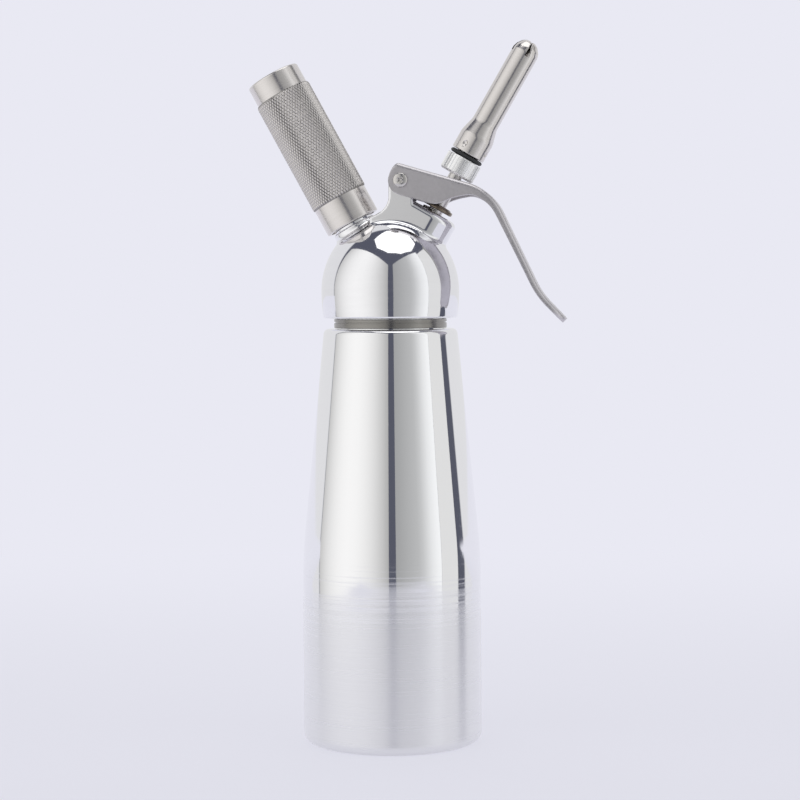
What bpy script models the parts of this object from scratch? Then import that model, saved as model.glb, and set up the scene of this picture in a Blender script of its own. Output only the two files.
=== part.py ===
# Whipped cream dispenser: metal bottle, screwed head, gas charger holder, lever valve and nozzle.
# Lengths are metres and angles degrees. The origin is the middle of the bottle's base, +Z is up,
# the lever and the nozzle lean towards +X and the gas charger leans towards -X.

import math

import bmesh
import bpy
from mathutils import Matrix, Vector

# Clearances and cutters
CLEAR = 0.0003               # gap between pieces that seat on or pass through each other
OVERRUN = 0.002              # how far a cutter runs past the face that it opens

# Round resolution
SEGMENTS_LARGE = 40
SEGMENTS_MEDIUM = 30
SEGMENTS_SMALL = 20
FILLET_STEPS = 3
SHARP_ANGLE = 38.0
MERGE = 0.00001

# Bottle
BOTTLE_R = 0.0395
BOTTLE_H = 0.1835            # base to shoulder
BOTTLE_WALL = 0.0018
BOTTLE_FLOOR = 0.0030
BOTTLE_BASE_FILLET = 0.0045
BOTTLE_STRAIGHT_H = 0.0835   # where the cylinder meets the cone
BOTTLE_WAIST_FILLET = 0.217
BOTTLE_SHOULDER_R = 0.0294
BOTTLE_SHOULDER_FILLET = 0.0025
NECK_R = 0.0232
NECK_WALL = 0.0027
NECK_H = 0.0202              # shoulder to rim
RIM_FILLET = 0.0008

# Neck ring, pressed on the root of the neck
RING_R = 0.0249
RING_H = 0.0041
RING_GROOVE_DEPTH = 0.0005
RING_GROOVE_H = 0.0006
RING_GROOVE_Z = 0.0022
RING_CHAMFER = 0.0004

# Head gasket
GASKET_T = 0.0020
GASKET_WIDTH = 0.0037

# Head: dome, cup for the neck and inner cavity
DOME_R = 0.0304
DOME_RISE = 0.0326           # upper half axis
DOME_DROP = 0.050            # lower half axis, most of it cut away
DOME_SKIRT_H = 0.0118        # lower edge to the widest ring
DOME_EDGE_FILLET = 0.0008
CAVITY_RISE = 0.0195
DOME_STEPS = 8
CAVITY_STEPS = 4

# Head: bracket that carries the lever
PIVOT_X = 0.0058
PIVOT_RISE = 0.0483          # pivot above the dome's widest ring
LUG_R = 0.0054
PLATE_HALF = 0.0110
PLATE_EDGE = 0.0008
PLATE_FOOT_FILLET = 0.0040
PLATE_FOOT_RISE = 0.0366
PLATE_FOOT_REACH = 0.0084    # from the plate's upright edge towards the charger
PLATE_FOOT_DROP = 0.0044
PLATE_SINK = 0.012

# Valve side of the head, measured along the valve axis from the dome's centre
VALVE_TILT = 30.0
HOUSING_R = 0.0113
HOUSING_TOP = 0.0398
HOUSING_FILLET = 0.0028
SEAT_RISE = 0.0206
SEAT_BOSS_R = 0.0090
SPRING_BORE_R = 0.0076
SPRING_BORE_DEPTH = 0.0138
FLOW_BORE_R = 0.0046

# Valve stem and what rides on it
STEM_R = 0.0033
STEM_TOP_R = 0.0030
STEM_FLANGE_R = 0.0046
STEM_FLANGE_T = 0.0030
STEM_TAIL_R = 0.0022
STEM_BORE_R = 0.0014
STEM_IN_ADAPTER = 0.0060
STEM_CHAMFER = 0.0004
CROSS_HOLE_R = 0.0010
CROSS_HOLE_RISE = 0.0028     # above the seat
SEAL_R = 0.0070
SEAL_T = 0.0030
SEAL_NUT_R = 0.0052
SEAL_NUT_T = 0.0026
CAP_LIFT = 0.0016            # spring cap above the housing at rest
CAP_R = 0.0072
CAP_T = 0.0023
CAP_EDGE = 0.0005
BUSH_T = 0.0038
STEM_RING_T = 0.0020
STEM_RING_WIDTH = 0.0020
WASHER_T = 0.0012
SPRING_WIRE_R = 0.00045
SPRING_MEAN_R = 0.0056
SPRING_TURNS = 2.75
SPRING_POINTS = 10           # along one turn

# Lever, in its own frame: along the arm, and square to it, from the pivot
LEVER_DROOP = 16.4           # the arm's slope below level
LEVER_WEB_RISE = 0.0070      # pivot to the web's outer face
LEVER_SHEET = 0.0012
LEVER_HALF = 0.0128
LEVER_BEND_R = 0.0019        # outer radius between web and skirt
LEVER_DEPTH = 0.0133         # web face to the skirts' lower edge, at the arm
LEVER_END_X = 0.0012         # centre of the skirts' round ends
LEVER_WEB_START = -0.0028
LEVER_ARM = 0.0393           # pivot to the corner of arm and handle
LEVER_CORNER_R = 0.024
LEVER_HANDLE = 0.0499        # between the two corners
LEVER_HANDLE_TURN = 48.1
LEVER_FLARE = 0.0158
LEVER_FLARE_TURN = -18.5
LEVER_FLARE_R = 0.035
LEVER_TIP_ROUND = 0.0085
LEVER_TIP_HALF = 0.0066
LEVER_STATION = 0.0020       # between sections on the arm
HANDLE_STATION = 0.0046
# Skirt depth along the arm: share of the arm's length, share of the full depth
LEVER_DEPTH_SHARES = ((0.10, 1.0), (0.24, 0.99), (0.34, 1.0), (0.41, 0.985), (0.46, 0.955),
                      (0.50, 0.89), (0.55, 0.76), (0.61, 0.62), (0.70, 0.47), (0.80, 0.35),
                      (0.90, 0.30), (1.10, 0.245), (1.45, 0.225), (2.10, 0.20), (2.75, 0.18))
SLOT_HALF = 0.0036
SLOT_BACK = 0.0062
SLOT_FRONT = 0.0044
SLOT_STEPS = 8

# Pivot screw and sleeve
SLEEVE_R = 0.0024
SLEEVE_BORE_R = 0.0017
SCREW_SHANK_R = 0.0014
SCREW_HEAD_R = 0.0032
SCREW_HEAD_T = 0.0017
SCREW_CROWN = 0.0009

# Nozzle adapter, seal ring and nozzle
ADAPTER_R = 0.0081
ADAPTER_H = 0.0081
ADAPTER_RIBS = 30
ADAPTER_RIB_DEPTH = 0.0004
ADAPTER_CHAMFER = 0.0009
STUD_R = 0.0052
STUD_H = 0.0070
STUD_BORE_R = 0.0025
O_RING_R = 0.0076
O_RING_T = 0.0018
O_RING_SIDES = 8
NOZZLE_BASE_R = 0.0077
NOZZLE_BASE_H = 0.0084
NOZZLE_TUBE_R = 0.00595
NOZZLE_SHOULDER_H = 0.0068
NOZZLE_SHOULDER_FILLET = 0.0060
NOZZLE_L = 0.0559
NOZZLE_TIP_H = 0.0064        # length of the slots
NOZZLE_BEND_DROP = 0.0045    # from the tip down to where the fingers bend in
NOZZLE_BEND_FILLET = 0.0030
NOZZLE_NOSE_R = 0.0032
NOZZLE_NOSE_DROP = 0.0006
NOZZLE_TIP_R = 0.0021
NOZZLE_BORE_R = 0.0045
NOZZLE_CHAMFER = 0.0004
TIP_SLOTS = 4
TIP_SLOT_W = 0.0027
TIP_SLOT_TIP_W = 0.0009
TIP_SLOT_ANGLE = 20.0        # first slot, to the right of the front

# Charger side of the head, measured along the charger axis from the dome's centre
CHARGER_TILT = -28.5
FLANGE_R = 0.0102
FLANGE_TOP = 0.0331
FLANGE_SINK = 0.006
FLANGE_FILLET = 0.0009
PORT_NECK_R = 0.00865
PORT_NECK_H = 0.0018
HOLDER_GAP = 0.0011          # flange to the holder's foot
NIPPLE_R = 0.0103
NIPPLE_H = 0.0110
NIPPLE_CHAMFER = 0.0006
PORT_BORE_R = 0.0051
PORT_FLOOR = 0.0350
GAS_BORE_R = 0.0032
CHECK_BOSS_R = 0.0060
CHECK_BOSS_END = 0.0235

# Piercing pin and gas charger
PIN_FLANGE_T = 0.0022
PIN_R = 0.0007
PIN_POINT_R = 0.0002
PIN_H = 0.0062               # flange to point
PIN_POINT_H = 0.0014
PIN_TAIL_R = 0.0024
RETAINER_T = 0.0014
RETAINER_BORE_R = 0.0020
CHARGER_SEAL_T = 0.0012
CHECK_SLEEVE_WALL = 0.0010
CHECK_SLEEVE_H = 0.0038
CHECK_HEAD_T = 0.0008
CHARGER_R = 0.0090
CHARGER_L = 0.065
CHARGER_NECK_R = 0.0044
CHARGER_NECK_H = 0.0068
CHARGER_SHOULDER_H = 0.0070
CHARGER_END_H = 0.0075
CHARGER_HOLE_R = 0.0012
CHARGER_HOLE_DEPTH = 0.0040

# Charger holder
HOLDER_R = 0.0129
HOLDER_FOOT_R = 0.01235
HOLDER_FOOT_H = 0.0122
HOLDER_CAP_R = 0.01205
HOLDER_CAP_H = 0.0093
HOLDER_END_T = 0.0018
HOLDER_STEP = 0.0005
HOLDER_END_FILLET = 0.0009
CHARGER_PLAY = 0.0004

# Places that follow from the sizes above
RIM_Z = BOTTLE_H + NECK_H
NECK_BORE_R = NECK_R - NECK_WALL
RING_Z = BOTTLE_H + CLEAR
HEAD_Z = RING_Z + RING_H + CLEAR
DOME_Z = HEAD_Z + DOME_SKIRT_H
GASKET_Z = RIM_Z + CLEAR
CUP_TOP = GASKET_Z + GASKET_T + CLEAR
CUP_R = NECK_R + CLEAR
CAVITY_R = CUP_R - GASKET_WIDTH - CLEAR
PIVOT_Z = DOME_Z + PIVOT_RISE
SPRING_BORE_FLOOR = HOUSING_TOP - SPRING_BORE_DEPTH
BUSH_Z = SPRING_BORE_FLOOR + CLEAR
STEM_RING_Z = BUSH_Z + BUSH_T + CLEAR
WASHER_Z = STEM_RING_Z + STEM_RING_T + CLEAR
SPRING_FOOT = WASHER_Z + WASHER_T + CLEAR
CAP_Z = HOUSING_TOP + CAP_LIFT
SPRING_HEAD = CAP_Z - CLEAR
SEAL_TOP = SEAT_RISE - CLEAR
SEAL_Z = SEAL_TOP - SEAL_T
SEAL_NUT_Z = SEAL_Z - CLEAR - SEAL_NUT_T
PORT_NECK_TOP = FLANGE_TOP + PORT_NECK_H
NIPPLE_TOP = PORT_NECK_TOP + NIPPLE_H
HOLDER_Z = FLANGE_TOP + HOLDER_GAP
PIN_FLANGE_R = PORT_BORE_R - CLEAR
PIN_Z = PORT_FLOOR + CLEAR
RETAINER_Z = PIN_Z + PIN_FLANGE_T + CLEAR
CHARGER_SEAL_Z = RETAINER_Z + RETAINER_T + CLEAR
CHARGER_Z = CHARGER_SEAL_Z + CHARGER_SEAL_T + CLEAR
CHARGER_TOP = CHARGER_Z + CHARGER_L
HOLDER_TOP = CHARGER_TOP + CLEAR + HOLDER_END_T
CHECK_SLEEVE_TOP = CHECK_BOSS_END - CLEAR
CHECK_SLEEVE_Z = CHECK_SLEEVE_TOP - CHECK_SLEEVE_H
LUG_FAR = LEVER_HALF + CLEAR


def web_crossing(rise, offset):
    """Height on the valve axis where a plane of the lever's web, at rise from the pivot,
    passes over a point offset to the front of the axis."""
    slope = math.radians(LEVER_DROOP)
    tilt = math.radians(VALVE_TILT)
    reach = rise + PIVOT_X * math.sin(slope) + PIVOT_RISE * math.cos(slope)
    return reach / math.cos(tilt - slope) + offset * math.tan(tilt - slope)


FLANGE_HIDDEN = math.sqrt(max(STEM_FLANGE_R ** 2 - SLOT_HALF ** 2, 0))
STEM_FLANGE_TOP = web_crossing(LEVER_WEB_RISE - LEVER_SHEET, -FLANGE_HIDDEN) - CLEAR
ADAPTER_Z = web_crossing(LEVER_WEB_RISE, ADAPTER_R - ADAPTER_CHAMFER) + CLEAR
STEM_TOP = ADAPTER_Z + STEM_IN_ADAPTER
ADAPTER_TOP = ADAPTER_Z + ADAPTER_H
STUD_TOP = ADAPTER_TOP + STUD_H
O_RING_Z = ADAPTER_TOP + CLEAR
NOZZLE_Z = O_RING_Z + O_RING_T + CLEAR


def material(name, colour, roughness, metallic):
    """Principled material of one colour."""
    mat = bpy.data.materials.new(name)
    mat.use_nodes = True
    shader = mat.node_tree.nodes["Principled BSDF"]
    shader.inputs["Base Color"].default_value = (*colour, 1.0)
    shader.inputs["Roughness"].default_value = roughness
    shader.inputs["Metallic"].default_value = metallic
    mat.diffuse_color = (*colour, 1.0)
    return mat


def rounded(corners, closed=False, steps=FILLET_STEPS):
    """Points of an outline whose corners may carry a fillet radius as a third value."""
    points = []
    count = len(corners)
    for index, corner in enumerate(corners):
        here = Vector(corner[:2])
        radius = corner[2] if len(corner) > 2 else 0
        if radius <= 0 or (not closed and index in (0, count - 1)):
            points.append(here)
            continue
        before = (Vector(corners[index - 1][:2]) - here).normalized()
        after = (Vector(corners[(index + 1) % count][:2]) - here).normalized()
        half = before.angle(after) / 2
        centre = here + (before + after).normalized() * (radius / math.sin(half))
        start = here + before * (radius / math.tan(half)) - centre
        sweep = start.angle_signed(here + after * (radius / math.tan(half)) - centre)
        for step in range(steps + 1):
            points.append(centre + Matrix.Rotation(-sweep * step / steps, 2) @ start)
    return points


def finish(name, bm, mat, axis=None, smooth=True):
    """Turn a bmesh into a named object, shaded smooth and hung on its axis empty."""
    bmesh.ops.recalc_face_normals(bm, faces=bm.faces[:])
    mesh = bpy.data.meshes.new(name)
    bm.to_mesh(mesh)
    bm.free()
    if smooth:
        mesh.shade_smooth()
        mesh.set_sharp_from_angle(angle=math.radians(SHARP_ANGLE))
    obj = bpy.data.objects.new(name, mesh)
    bpy.context.collection.objects.link(obj)
    if mat:
        mesh.materials.append(mat)
    if axis:
        obj.parent = axis
    return obj


def turned(name, outline, mat, axis=None, closed=True, segments=SEGMENTS_SMALL, smooth=True):
    """Spin an outline of radius and height about the local Z axis."""
    bm = bmesh.new()
    verts = [bm.verts.new((point[0], 0, point[1])) for point in outline]
    pairs = list(zip(verts, verts[1:]))
    if closed:
        pairs.append((verts[-1], verts[0]))
    edges = [bm.edges.new(pair) for pair in pairs]
    bmesh.ops.spin(bm, geom=verts + edges, axis=(0, 0, 1), cent=(0, 0, 0),
                   angle=math.tau, steps=segments, use_merge=True)
    bmesh.ops.remove_doubles(bm, verts=bm.verts[:], dist=MERGE)
    return finish(name, bm, mat, axis, smooth)


def ring(name, inner, outer, low, high, mat, axis, edge=0, segments=SEGMENTS_SMALL):
    """A washer, bush or rubber ring of rectangular section with eased edges."""
    corners = [(outer, high, edge), (outer, low, edge), (inner, low), (inner, high)]
    return turned(name, rounded(corners, True, 1), mat, axis, segments=segments)


def extruded(name, outline, depth, mat=None, axis=None):
    """A plate of the given XZ outline, reaching depth to both sides of the XZ plane."""
    bm = bmesh.new()
    face = bm.faces.new([bm.verts.new((point[0], -depth, point[1])) for point in outline])
    grown = bmesh.ops.extrude_face_region(bm, geom=[face])
    moved = [item for item in grown["geom"] if isinstance(item, bmesh.types.BMVert)]
    bmesh.ops.translate(bm, verts=moved, vec=(0, 2 * depth, 0))
    return finish(name, bm, mat, axis, smooth=False)


def combine(target, tools, operation):
    """Boolean each tool into the target and keep the tool as a hidden wire object."""
    for tool in tools:
        modifier = target.modifiers.new(tool.name, "BOOLEAN")
        modifier.operation = operation
        modifier.solver = "EXACT"
        modifier.object = tool
        tool.hide_render = True
        tool.display_type = "WIRE"


def cylinder(name, radius, low, high, axis, segments=SEGMENTS_SMALL, fillet=0):
    """A round bar along the local Z axis, solid or a cutter, with its top edge rounded."""
    corners = [(0, high), (radius, high, fillet), (radius, low), (0, low)]
    return turned(name, rounded(corners), None, axis, closed=False, segments=segments)


def empty(name, location, tilt=0, parent=None):
    """An axis empty, tilted about Y."""
    obj = bpy.data.objects.new(name, None)
    bpy.context.collection.objects.link(obj)
    obj.location = location
    obj.rotation_euler = (0, math.radians(tilt), 0)
    obj.parent = parent
    return obj


# Bottle and what stays on it

def make_bottle(mat):
    """Thin walled bottle: cylinder, long cone, flat shoulder and straight neck."""
    wall = BOTTLE_WALL
    outside = rounded([(0, 0), (BOTTLE_R, 0, BOTTLE_BASE_FILLET),
                       (BOTTLE_R, BOTTLE_STRAIGHT_H, BOTTLE_WAIST_FILLET),
                       (BOTTLE_SHOULDER_R, BOTTLE_H, BOTTLE_SHOULDER_FILLET),
                       (NECK_R, BOTTLE_H)])
    inside = [(NECK_R, BOTTLE_H), (NECK_R, RIM_Z, RIM_FILLET), (NECK_BORE_R, RIM_Z, RIM_FILLET),
              (NECK_BORE_R, BOTTLE_H - wall),
              (BOTTLE_SHOULDER_R - wall, BOTTLE_H - wall, BOTTLE_SHOULDER_FILLET - wall / 2),
              (BOTTLE_R - wall, BOTTLE_STRAIGHT_H, BOTTLE_WAIST_FILLET),
              (BOTTLE_R - wall, BOTTLE_FLOOR, BOTTLE_BASE_FILLET - wall), (0, BOTTLE_FLOOR)]
    return turned("bottle", outside[:-1] + rounded(inside, steps=1), mat, closed=False,
                  segments=SEGMENTS_LARGE)


def make_neck_ring(mat):
    """Steel ring round the root of the neck, with one groove."""
    inner = NECK_R + CLEAR
    groove = RING_R - RING_GROOVE_DEPTH
    low = RING_Z + RING_GROOVE_Z
    corners = [(RING_R, RING_Z, RING_CHAMFER), (RING_R, low), (groove, low),
               (groove, low + RING_GROOVE_H), (RING_R, low + RING_GROOVE_H),
               (RING_R, RING_Z + RING_H, RING_CHAMFER), (inner, RING_Z + RING_H),
               (inner, RING_Z)]
    return turned("neck_ring", rounded(corners, True, 1), mat, segments=SEGMENTS_LARGE)


# Head casting

def ellipse(centre_z, across, up, start, end, steps):
    """Points on an ellipse of radius and height, by angles above the level."""
    points = []
    for step in range(steps + 1):
        angle = math.radians(start + (end - start) * step / steps)
        points.append((across * math.cos(angle), centre_z + up * math.sin(angle)))
    return points


def make_dome(mat, axis):
    """Solid dome, cut flat at its lower edge."""
    foot_angle = -math.degrees(math.asin(DOME_SKIRT_H / DOME_DROP))
    upper = ellipse(DOME_Z, DOME_R, DOME_RISE, 90, 0, DOME_STEPS)
    lower = ellipse(DOME_Z, DOME_R, DOME_DROP, 0, foot_angle, 2)
    outline = [(0, upper[0][1])] + upper[1:] + lower[1:-1]
    outline += rounded([lower[-2], (*lower[-1], DOME_EDGE_FILLET), (0, HEAD_Z)], steps=1)[1:]
    return turned("head_casting", outline, mat, axis, closed=False, segments=SEGMENTS_LARGE)


def make_cavity(axis):
    """Cutter for the cup round the neck and the hollow above it."""
    roof = ellipse(CUP_TOP, CAVITY_R, CAVITY_RISE, 90, 0, CAVITY_STEPS)
    outline = [(0, roof[0][1])] + roof[1:]
    outline += [(CUP_R, CUP_TOP), (CUP_R, HEAD_Z - OVERRUN), (0, HEAD_Z - OVERRUN)]
    return turned("cut_cavity", outline, None, axis, closed=False, segments=SEGMENTS_LARGE)


def make_bracket(axis):
    """Upright plate with a round lug for the lever's pivot. It runs on, flush, into the
    valve housing's sides, just below the housing's top."""
    left = PIVOT_X - LUG_R
    right = PIVOT_X + LUG_R
    tilt = math.radians(VALVE_TILT)
    cover_x = (HOUSING_TOP - CLEAR) * math.sin(tilt)
    cover_z = DOME_Z + (HOUSING_TOP - CLEAR) * math.cos(tilt)
    heel_z = cover_z + (cover_x - right) * math.tan(tilt)
    inside_x = (HOUSING_TOP - PLATE_SINK) * math.sin(tilt)
    inside_z = DOME_Z + (HOUSING_TOP - PLATE_SINK) * math.cos(tilt)
    bottom = DOME_Z + DOME_RISE - PLATE_SINK
    foot_z = DOME_Z + PLATE_FOOT_RISE
    outline = [(PIVOT_X + LUG_R * math.cos(math.radians(angle)),
                PIVOT_Z + LUG_R * math.sin(math.radians(angle)))
               for angle in range(0, 181, 20)]
    outline += rounded([(left, PIVOT_Z), (left, foot_z, PLATE_FOOT_FILLET),
                        (left - PLATE_FOOT_REACH, foot_z - PLATE_FOOT_DROP),
                        (left - PLATE_FOOT_REACH, bottom), (inside_x, bottom),
                        (inside_x, inside_z), (cover_x, cover_z), (right, heel_z)], steps=5)[1:]
    plate = extruded("tool_bracket", outline, PLATE_HALF, axis=axis)
    bevel = plate.modifiers.new("edges", "BEVEL")
    bevel.width = PLATE_EDGE
    bevel.segments = 1
    bevel.limit_method = "ANGLE"
    bevel.angle_limit = math.radians(SHARP_ANGLE)
    return plate


def make_head(mat, head_axis, valve_axis, charger_axis, pin_axis):
    """Casting: dome, bracket, valve housing and charger port, hollowed and bored."""
    head = make_dome(mat, head_axis)
    housing = cylinder("tool_housing", HOUSING_R, SEAT_RISE + SEAL_T, HOUSING_TOP, valve_axis,
                       SEGMENTS_MEDIUM, HOUSING_FILLET)
    port = turned("tool_port", rounded([
        (0, NIPPLE_TOP), (NIPPLE_R, NIPPLE_TOP, NIPPLE_CHAMFER),
        (NIPPLE_R, PORT_NECK_TOP, NIPPLE_CHAMFER), (PORT_NECK_R, PORT_NECK_TOP),
        (PORT_NECK_R, FLANGE_TOP), (FLANGE_R, FLANGE_TOP, FLANGE_FILLET),
        (FLANGE_R, FLANGE_TOP - FLANGE_SINK), (0, FLANGE_TOP - FLANGE_SINK)], steps=2),
        None, charger_axis, closed=False, segments=SEGMENTS_MEDIUM)
    combine(head, [make_bracket(head_axis), housing, port], "UNION")
    combine(head, [make_cavity(head_axis)], "DIFFERENCE")
    seat = cylinder("tool_seat_boss", SEAT_BOSS_R, SEAT_RISE,
                    SPRING_BORE_FLOOR + OVERRUN, valve_axis)
    check = cylinder("tool_check_boss", CHECK_BOSS_R, CHECK_BOSS_END,
                     FLANGE_TOP - FLANGE_SINK, charger_axis)
    combine(head, [seat, check], "UNION")
    bores = [
        cylinder("cut_flow_bore", FLOW_BORE_R, SEAT_RISE - OVERRUN, HOUSING_TOP, valve_axis),
        cylinder("cut_spring_bore", SPRING_BORE_R, SPRING_BORE_FLOOR,
                 HOUSING_TOP + OVERRUN, valve_axis, SEGMENTS_MEDIUM),
        cylinder("cut_gas_bore", GAS_BORE_R, CHECK_BOSS_END - OVERRUN,
                 PORT_FLOOR + OVERRUN, charger_axis),
        cylinder("cut_port_bore", PORT_BORE_R, PORT_FLOOR, NIPPLE_TOP + OVERRUN,
                 charger_axis),
        cylinder("cut_pivot_bore", SLEEVE_R + CLEAR, -PLATE_HALF - OVERRUN,
                 PLATE_HALF + OVERRUN, pin_axis)]
    combine(head, bores, "DIFFERENCE")
    return head


# Valve

def o_ring(name, inner, outer, low, high, mat, axis, segments=SEGMENTS_MEDIUM):
    """Rubber ring of oval section."""
    points = []
    for step in range(O_RING_SIDES):
        angle = math.tau * step / O_RING_SIDES
        points.append(((inner + outer) / 2 + (outer - inner) / 2 * math.cos(angle),
                       (low + high) / 2 + (high - low) / 2 * math.sin(angle)))
    return turned(name, points, mat, axis, segments=segments)


def make_stem(mat, axis):
    """Hollow stem with a flange for the lever and a cross hole above the seat."""
    hole_z = SEAT_RISE + CROSS_HOLE_RISE
    tail = SEAL_NUT_Z - STEM_CHAMFER
    stem = turned("valve_stem", rounded([
        (0, hole_z - CROSS_HOLE_R), (STEM_BORE_R, hole_z - CROSS_HOLE_R),
        (STEM_BORE_R, STEM_TOP), (STEM_TOP_R, STEM_TOP, STEM_CHAMFER),
        (STEM_TOP_R, STEM_FLANGE_TOP), (STEM_FLANGE_R, STEM_FLANGE_TOP, STEM_CHAMFER),
        (STEM_FLANGE_R, STEM_FLANGE_TOP - STEM_FLANGE_T, STEM_CHAMFER),
        (STEM_R, STEM_FLANGE_TOP - STEM_FLANGE_T), (STEM_R, SEAT_RISE),
        (STEM_TAIL_R, SEAT_RISE), (STEM_TAIL_R, tail, STEM_CHAMFER), (0, tail)], steps=1),
        mat, axis, closed=False)
    across = empty("cross_hole_axis", (0, 0, hole_z), parent=axis)
    across.rotation_euler = (math.radians(90), 0, 0)
    hole = cylinder("cut_cross_hole", CROSS_HOLE_R, -STEM_R - OVERRUN, STEM_R + OVERRUN,
                    across, SEGMENTS_SMALL // 2)
    combine(stem, [hole], "DIFFERENCE")
    return stem


def make_spring(mat, axis):
    """Helical valve spring; prints its least gap between neighbouring turns."""
    count = round(SPRING_TURNS * SPRING_POINTS)
    low = SPRING_FOOT + SPRING_WIRE_R
    high = SPRING_HEAD - SPRING_WIRE_R
    points = []
    for index in range(count + 1):
        angle = math.tau * index / SPRING_POINTS
        points.append(Vector((SPRING_MEAN_R * math.cos(angle), SPRING_MEAN_R * math.sin(angle),
                              low + (high - low) * index / count)))
    curve = bpy.data.curves.new("valve_spring", "CURVE")
    curve.dimensions = "3D"
    curve.bevel_depth = SPRING_WIRE_R
    curve.bevel_resolution = 1
    curve.use_fill_caps = True
    spline = curve.splines.new("POLY")
    spline.points.add(len(points) - 1)
    for slot, point in zip(spline.points, points):
        slot.co = (*point, 1)
    curve.materials.append(mat)
    spring = bpy.data.objects.new("valve_spring", curve)
    bpy.context.collection.objects.link(spring)
    spring.parent = axis
    gaps = [(points[a] - points[b]).length - 2 * SPRING_WIRE_R
            for a in range(count + 1) for b in range(a + SPRING_POINTS // 2, count + 1)]
    print("least gap in valve_spring, metres:", round(min(gaps), 5))
    return spring


def make_seal_nut(mat, axis):
    """Hexagonal nut that holds the seal on the stem's tail."""
    corner = math.cos(math.pi / 6)
    corners = [(SEAL_NUT_R, SEAL_NUT_Z + SEAL_NUT_T), (SEAL_NUT_R, SEAL_NUT_Z),
               ((STEM_TAIL_R + CLEAR) / corner, SEAL_NUT_Z),
               ((STEM_TAIL_R + CLEAR) / corner, SEAL_NUT_Z + SEAL_NUT_T)]
    return turned("seal_nut", corners, mat, axis, segments=6, smooth=False)


def make_valve(mats, axis, housing_axis):
    """Stem, seals, spring and spring cap of the dispensing valve."""
    stem_hole = STEM_R + CLEAR
    bore_fit = SPRING_BORE_R - CLEAR
    make_stem(mats["steel"], axis)
    make_seal_nut(mats["steel"], axis)
    ring("valve_seal", STEM_TAIL_R + CLEAR, SEAL_R, SEAL_Z, SEAL_TOP, mats["rubber"], axis,
         SEAL_T / 4)
    ring("spring_cap", stem_hole, CAP_R, CAP_Z, CAP_Z + CAP_T, mats["dark_steel"], axis,
         CAP_EDGE, SEGMENTS_MEDIUM)
    ring("guide_bush", stem_hole, bore_fit, BUSH_Z, BUSH_Z + BUSH_T, mats["brass"],
         housing_axis)
    o_ring("stem_o_ring", stem_hole, stem_hole + STEM_RING_WIDTH, STEM_RING_Z,
           STEM_RING_Z + STEM_RING_T, mats["rubber"], housing_axis, SEGMENTS_SMALL)
    ring("gland_washer", stem_hole, bore_fit, WASHER_Z, WASHER_Z + WASHER_T, mats["steel"],
         housing_axis)
    make_spring(mats["steel"], housing_axis)


# Lever

def lever_path(distance):
    """Point and outward normal on the web's outer face, by distance from the pivot's foot."""
    turn = math.radians(LEVER_HANDLE_TURN)
    flare = math.radians(LEVER_HANDLE_TURN + LEVER_FLARE_TURN)
    bend = LEVER_CORNER_R * math.tan(turn / 2)
    rebend = LEVER_FLARE_R * math.tan(math.radians(-LEVER_FLARE_TURN) / 2)
    runs = [(LEVER_ARM - bend, 0), (LEVER_CORNER_R * turn, turn),
            (LEVER_HANDLE - bend - rebend, 0), (LEVER_FLARE_R * (turn - flare), flare - turn),
            (LEVER_FLARE - rebend, 0)]
    point = Vector((0, LEVER_WEB_RISE))
    heading = 0
    for index, (length, sweep) in enumerate(runs):
        last = index == len(runs) - 1
        step = distance if distance < length or last else length
        if sweep:
            radius = length / sweep
            end = heading + step / radius
            point += radius * Vector((math.sin(end) - math.sin(heading),
                                      math.cos(end) - math.cos(heading)))
            heading = end
        else:
            point += step * Vector((math.cos(heading), -math.sin(heading)))
        distance -= step
        if distance <= 0:
            break
    return point, Vector((math.sin(heading), math.cos(heading)))


def lever_length():
    """Length of the web's outer face from the pivot's foot to the tip."""
    turn = math.radians(LEVER_HANDLE_TURN)
    flare = math.radians(-LEVER_FLARE_TURN)
    saved = (LEVER_CORNER_R * (2 * math.tan(turn / 2) - turn)
             + LEVER_FLARE_R * (2 * math.tan(flare / 2) - flare))
    return LEVER_ARM + LEVER_HANDLE + LEVER_FLARE - saved


def skirt_depth(distance):
    """Depth of the skirts below the web's face, from the table of shares."""
    table = [(along * LEVER_ARM, share * LEVER_DEPTH) for along, share in LEVER_DEPTH_SHARES]
    if distance <= table[0][0]:
        return table[0][1]
    for (near, deep), (far, next_deep) in zip(table, table[1:]):
        if distance <= far:
            return deep + (next_deep - deep) * (distance - near) / (far - near)
    return table[-1][1]


def lever_section(distance):
    """One closed U-section of the lever, as points in the lever's own frame."""
    point, normal = lever_path(max(distance, 0))
    if distance < 0:
        point = point + Vector((distance, 0))
    depth = skirt_depth(distance)
    drop = 0
    radius = LEVER_DEPTH / 2
    if distance < LEVER_END_X:
        depth -= radius - math.sqrt(max(radius ** 2 - (LEVER_END_X - distance) ** 2, 0))
    if distance < LEVER_WEB_START:
        along = (LEVER_WEB_START - distance) / (LEVER_WEB_START - LEVER_END_X + radius)
        drop = radius - radius * math.sqrt(max(1 - along ** 2, 0))
    half = LEVER_HALF
    into_tip = (distance - lever_length() + LEVER_TIP_ROUND) / LEVER_TIP_ROUND
    if into_tip > 0:
        narrow = 1 - math.sqrt(max(1 - into_tip ** 2, 0))
        half -= (LEVER_HALF - LEVER_TIP_HALF) * narrow
    bend = LEVER_BEND_R
    side = [(half - bend, drop)]
    for angle in (60, 30):
        side.append((half - bend + bend * math.cos(math.radians(angle)),
                     drop + bend - bend * math.sin(math.radians(angle))))
    side += [(half, drop + bend), (half, depth), (half - LEVER_SHEET, depth),
             (half - LEVER_SHEET, drop + bend), (half - bend, drop + LEVER_SHEET)]
    loop = side + [(-across, down) for across, down in reversed(side)]
    return [Vector((point.x - normal.x * down, across, point.y - normal.y * down))
            for across, down in loop]


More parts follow.
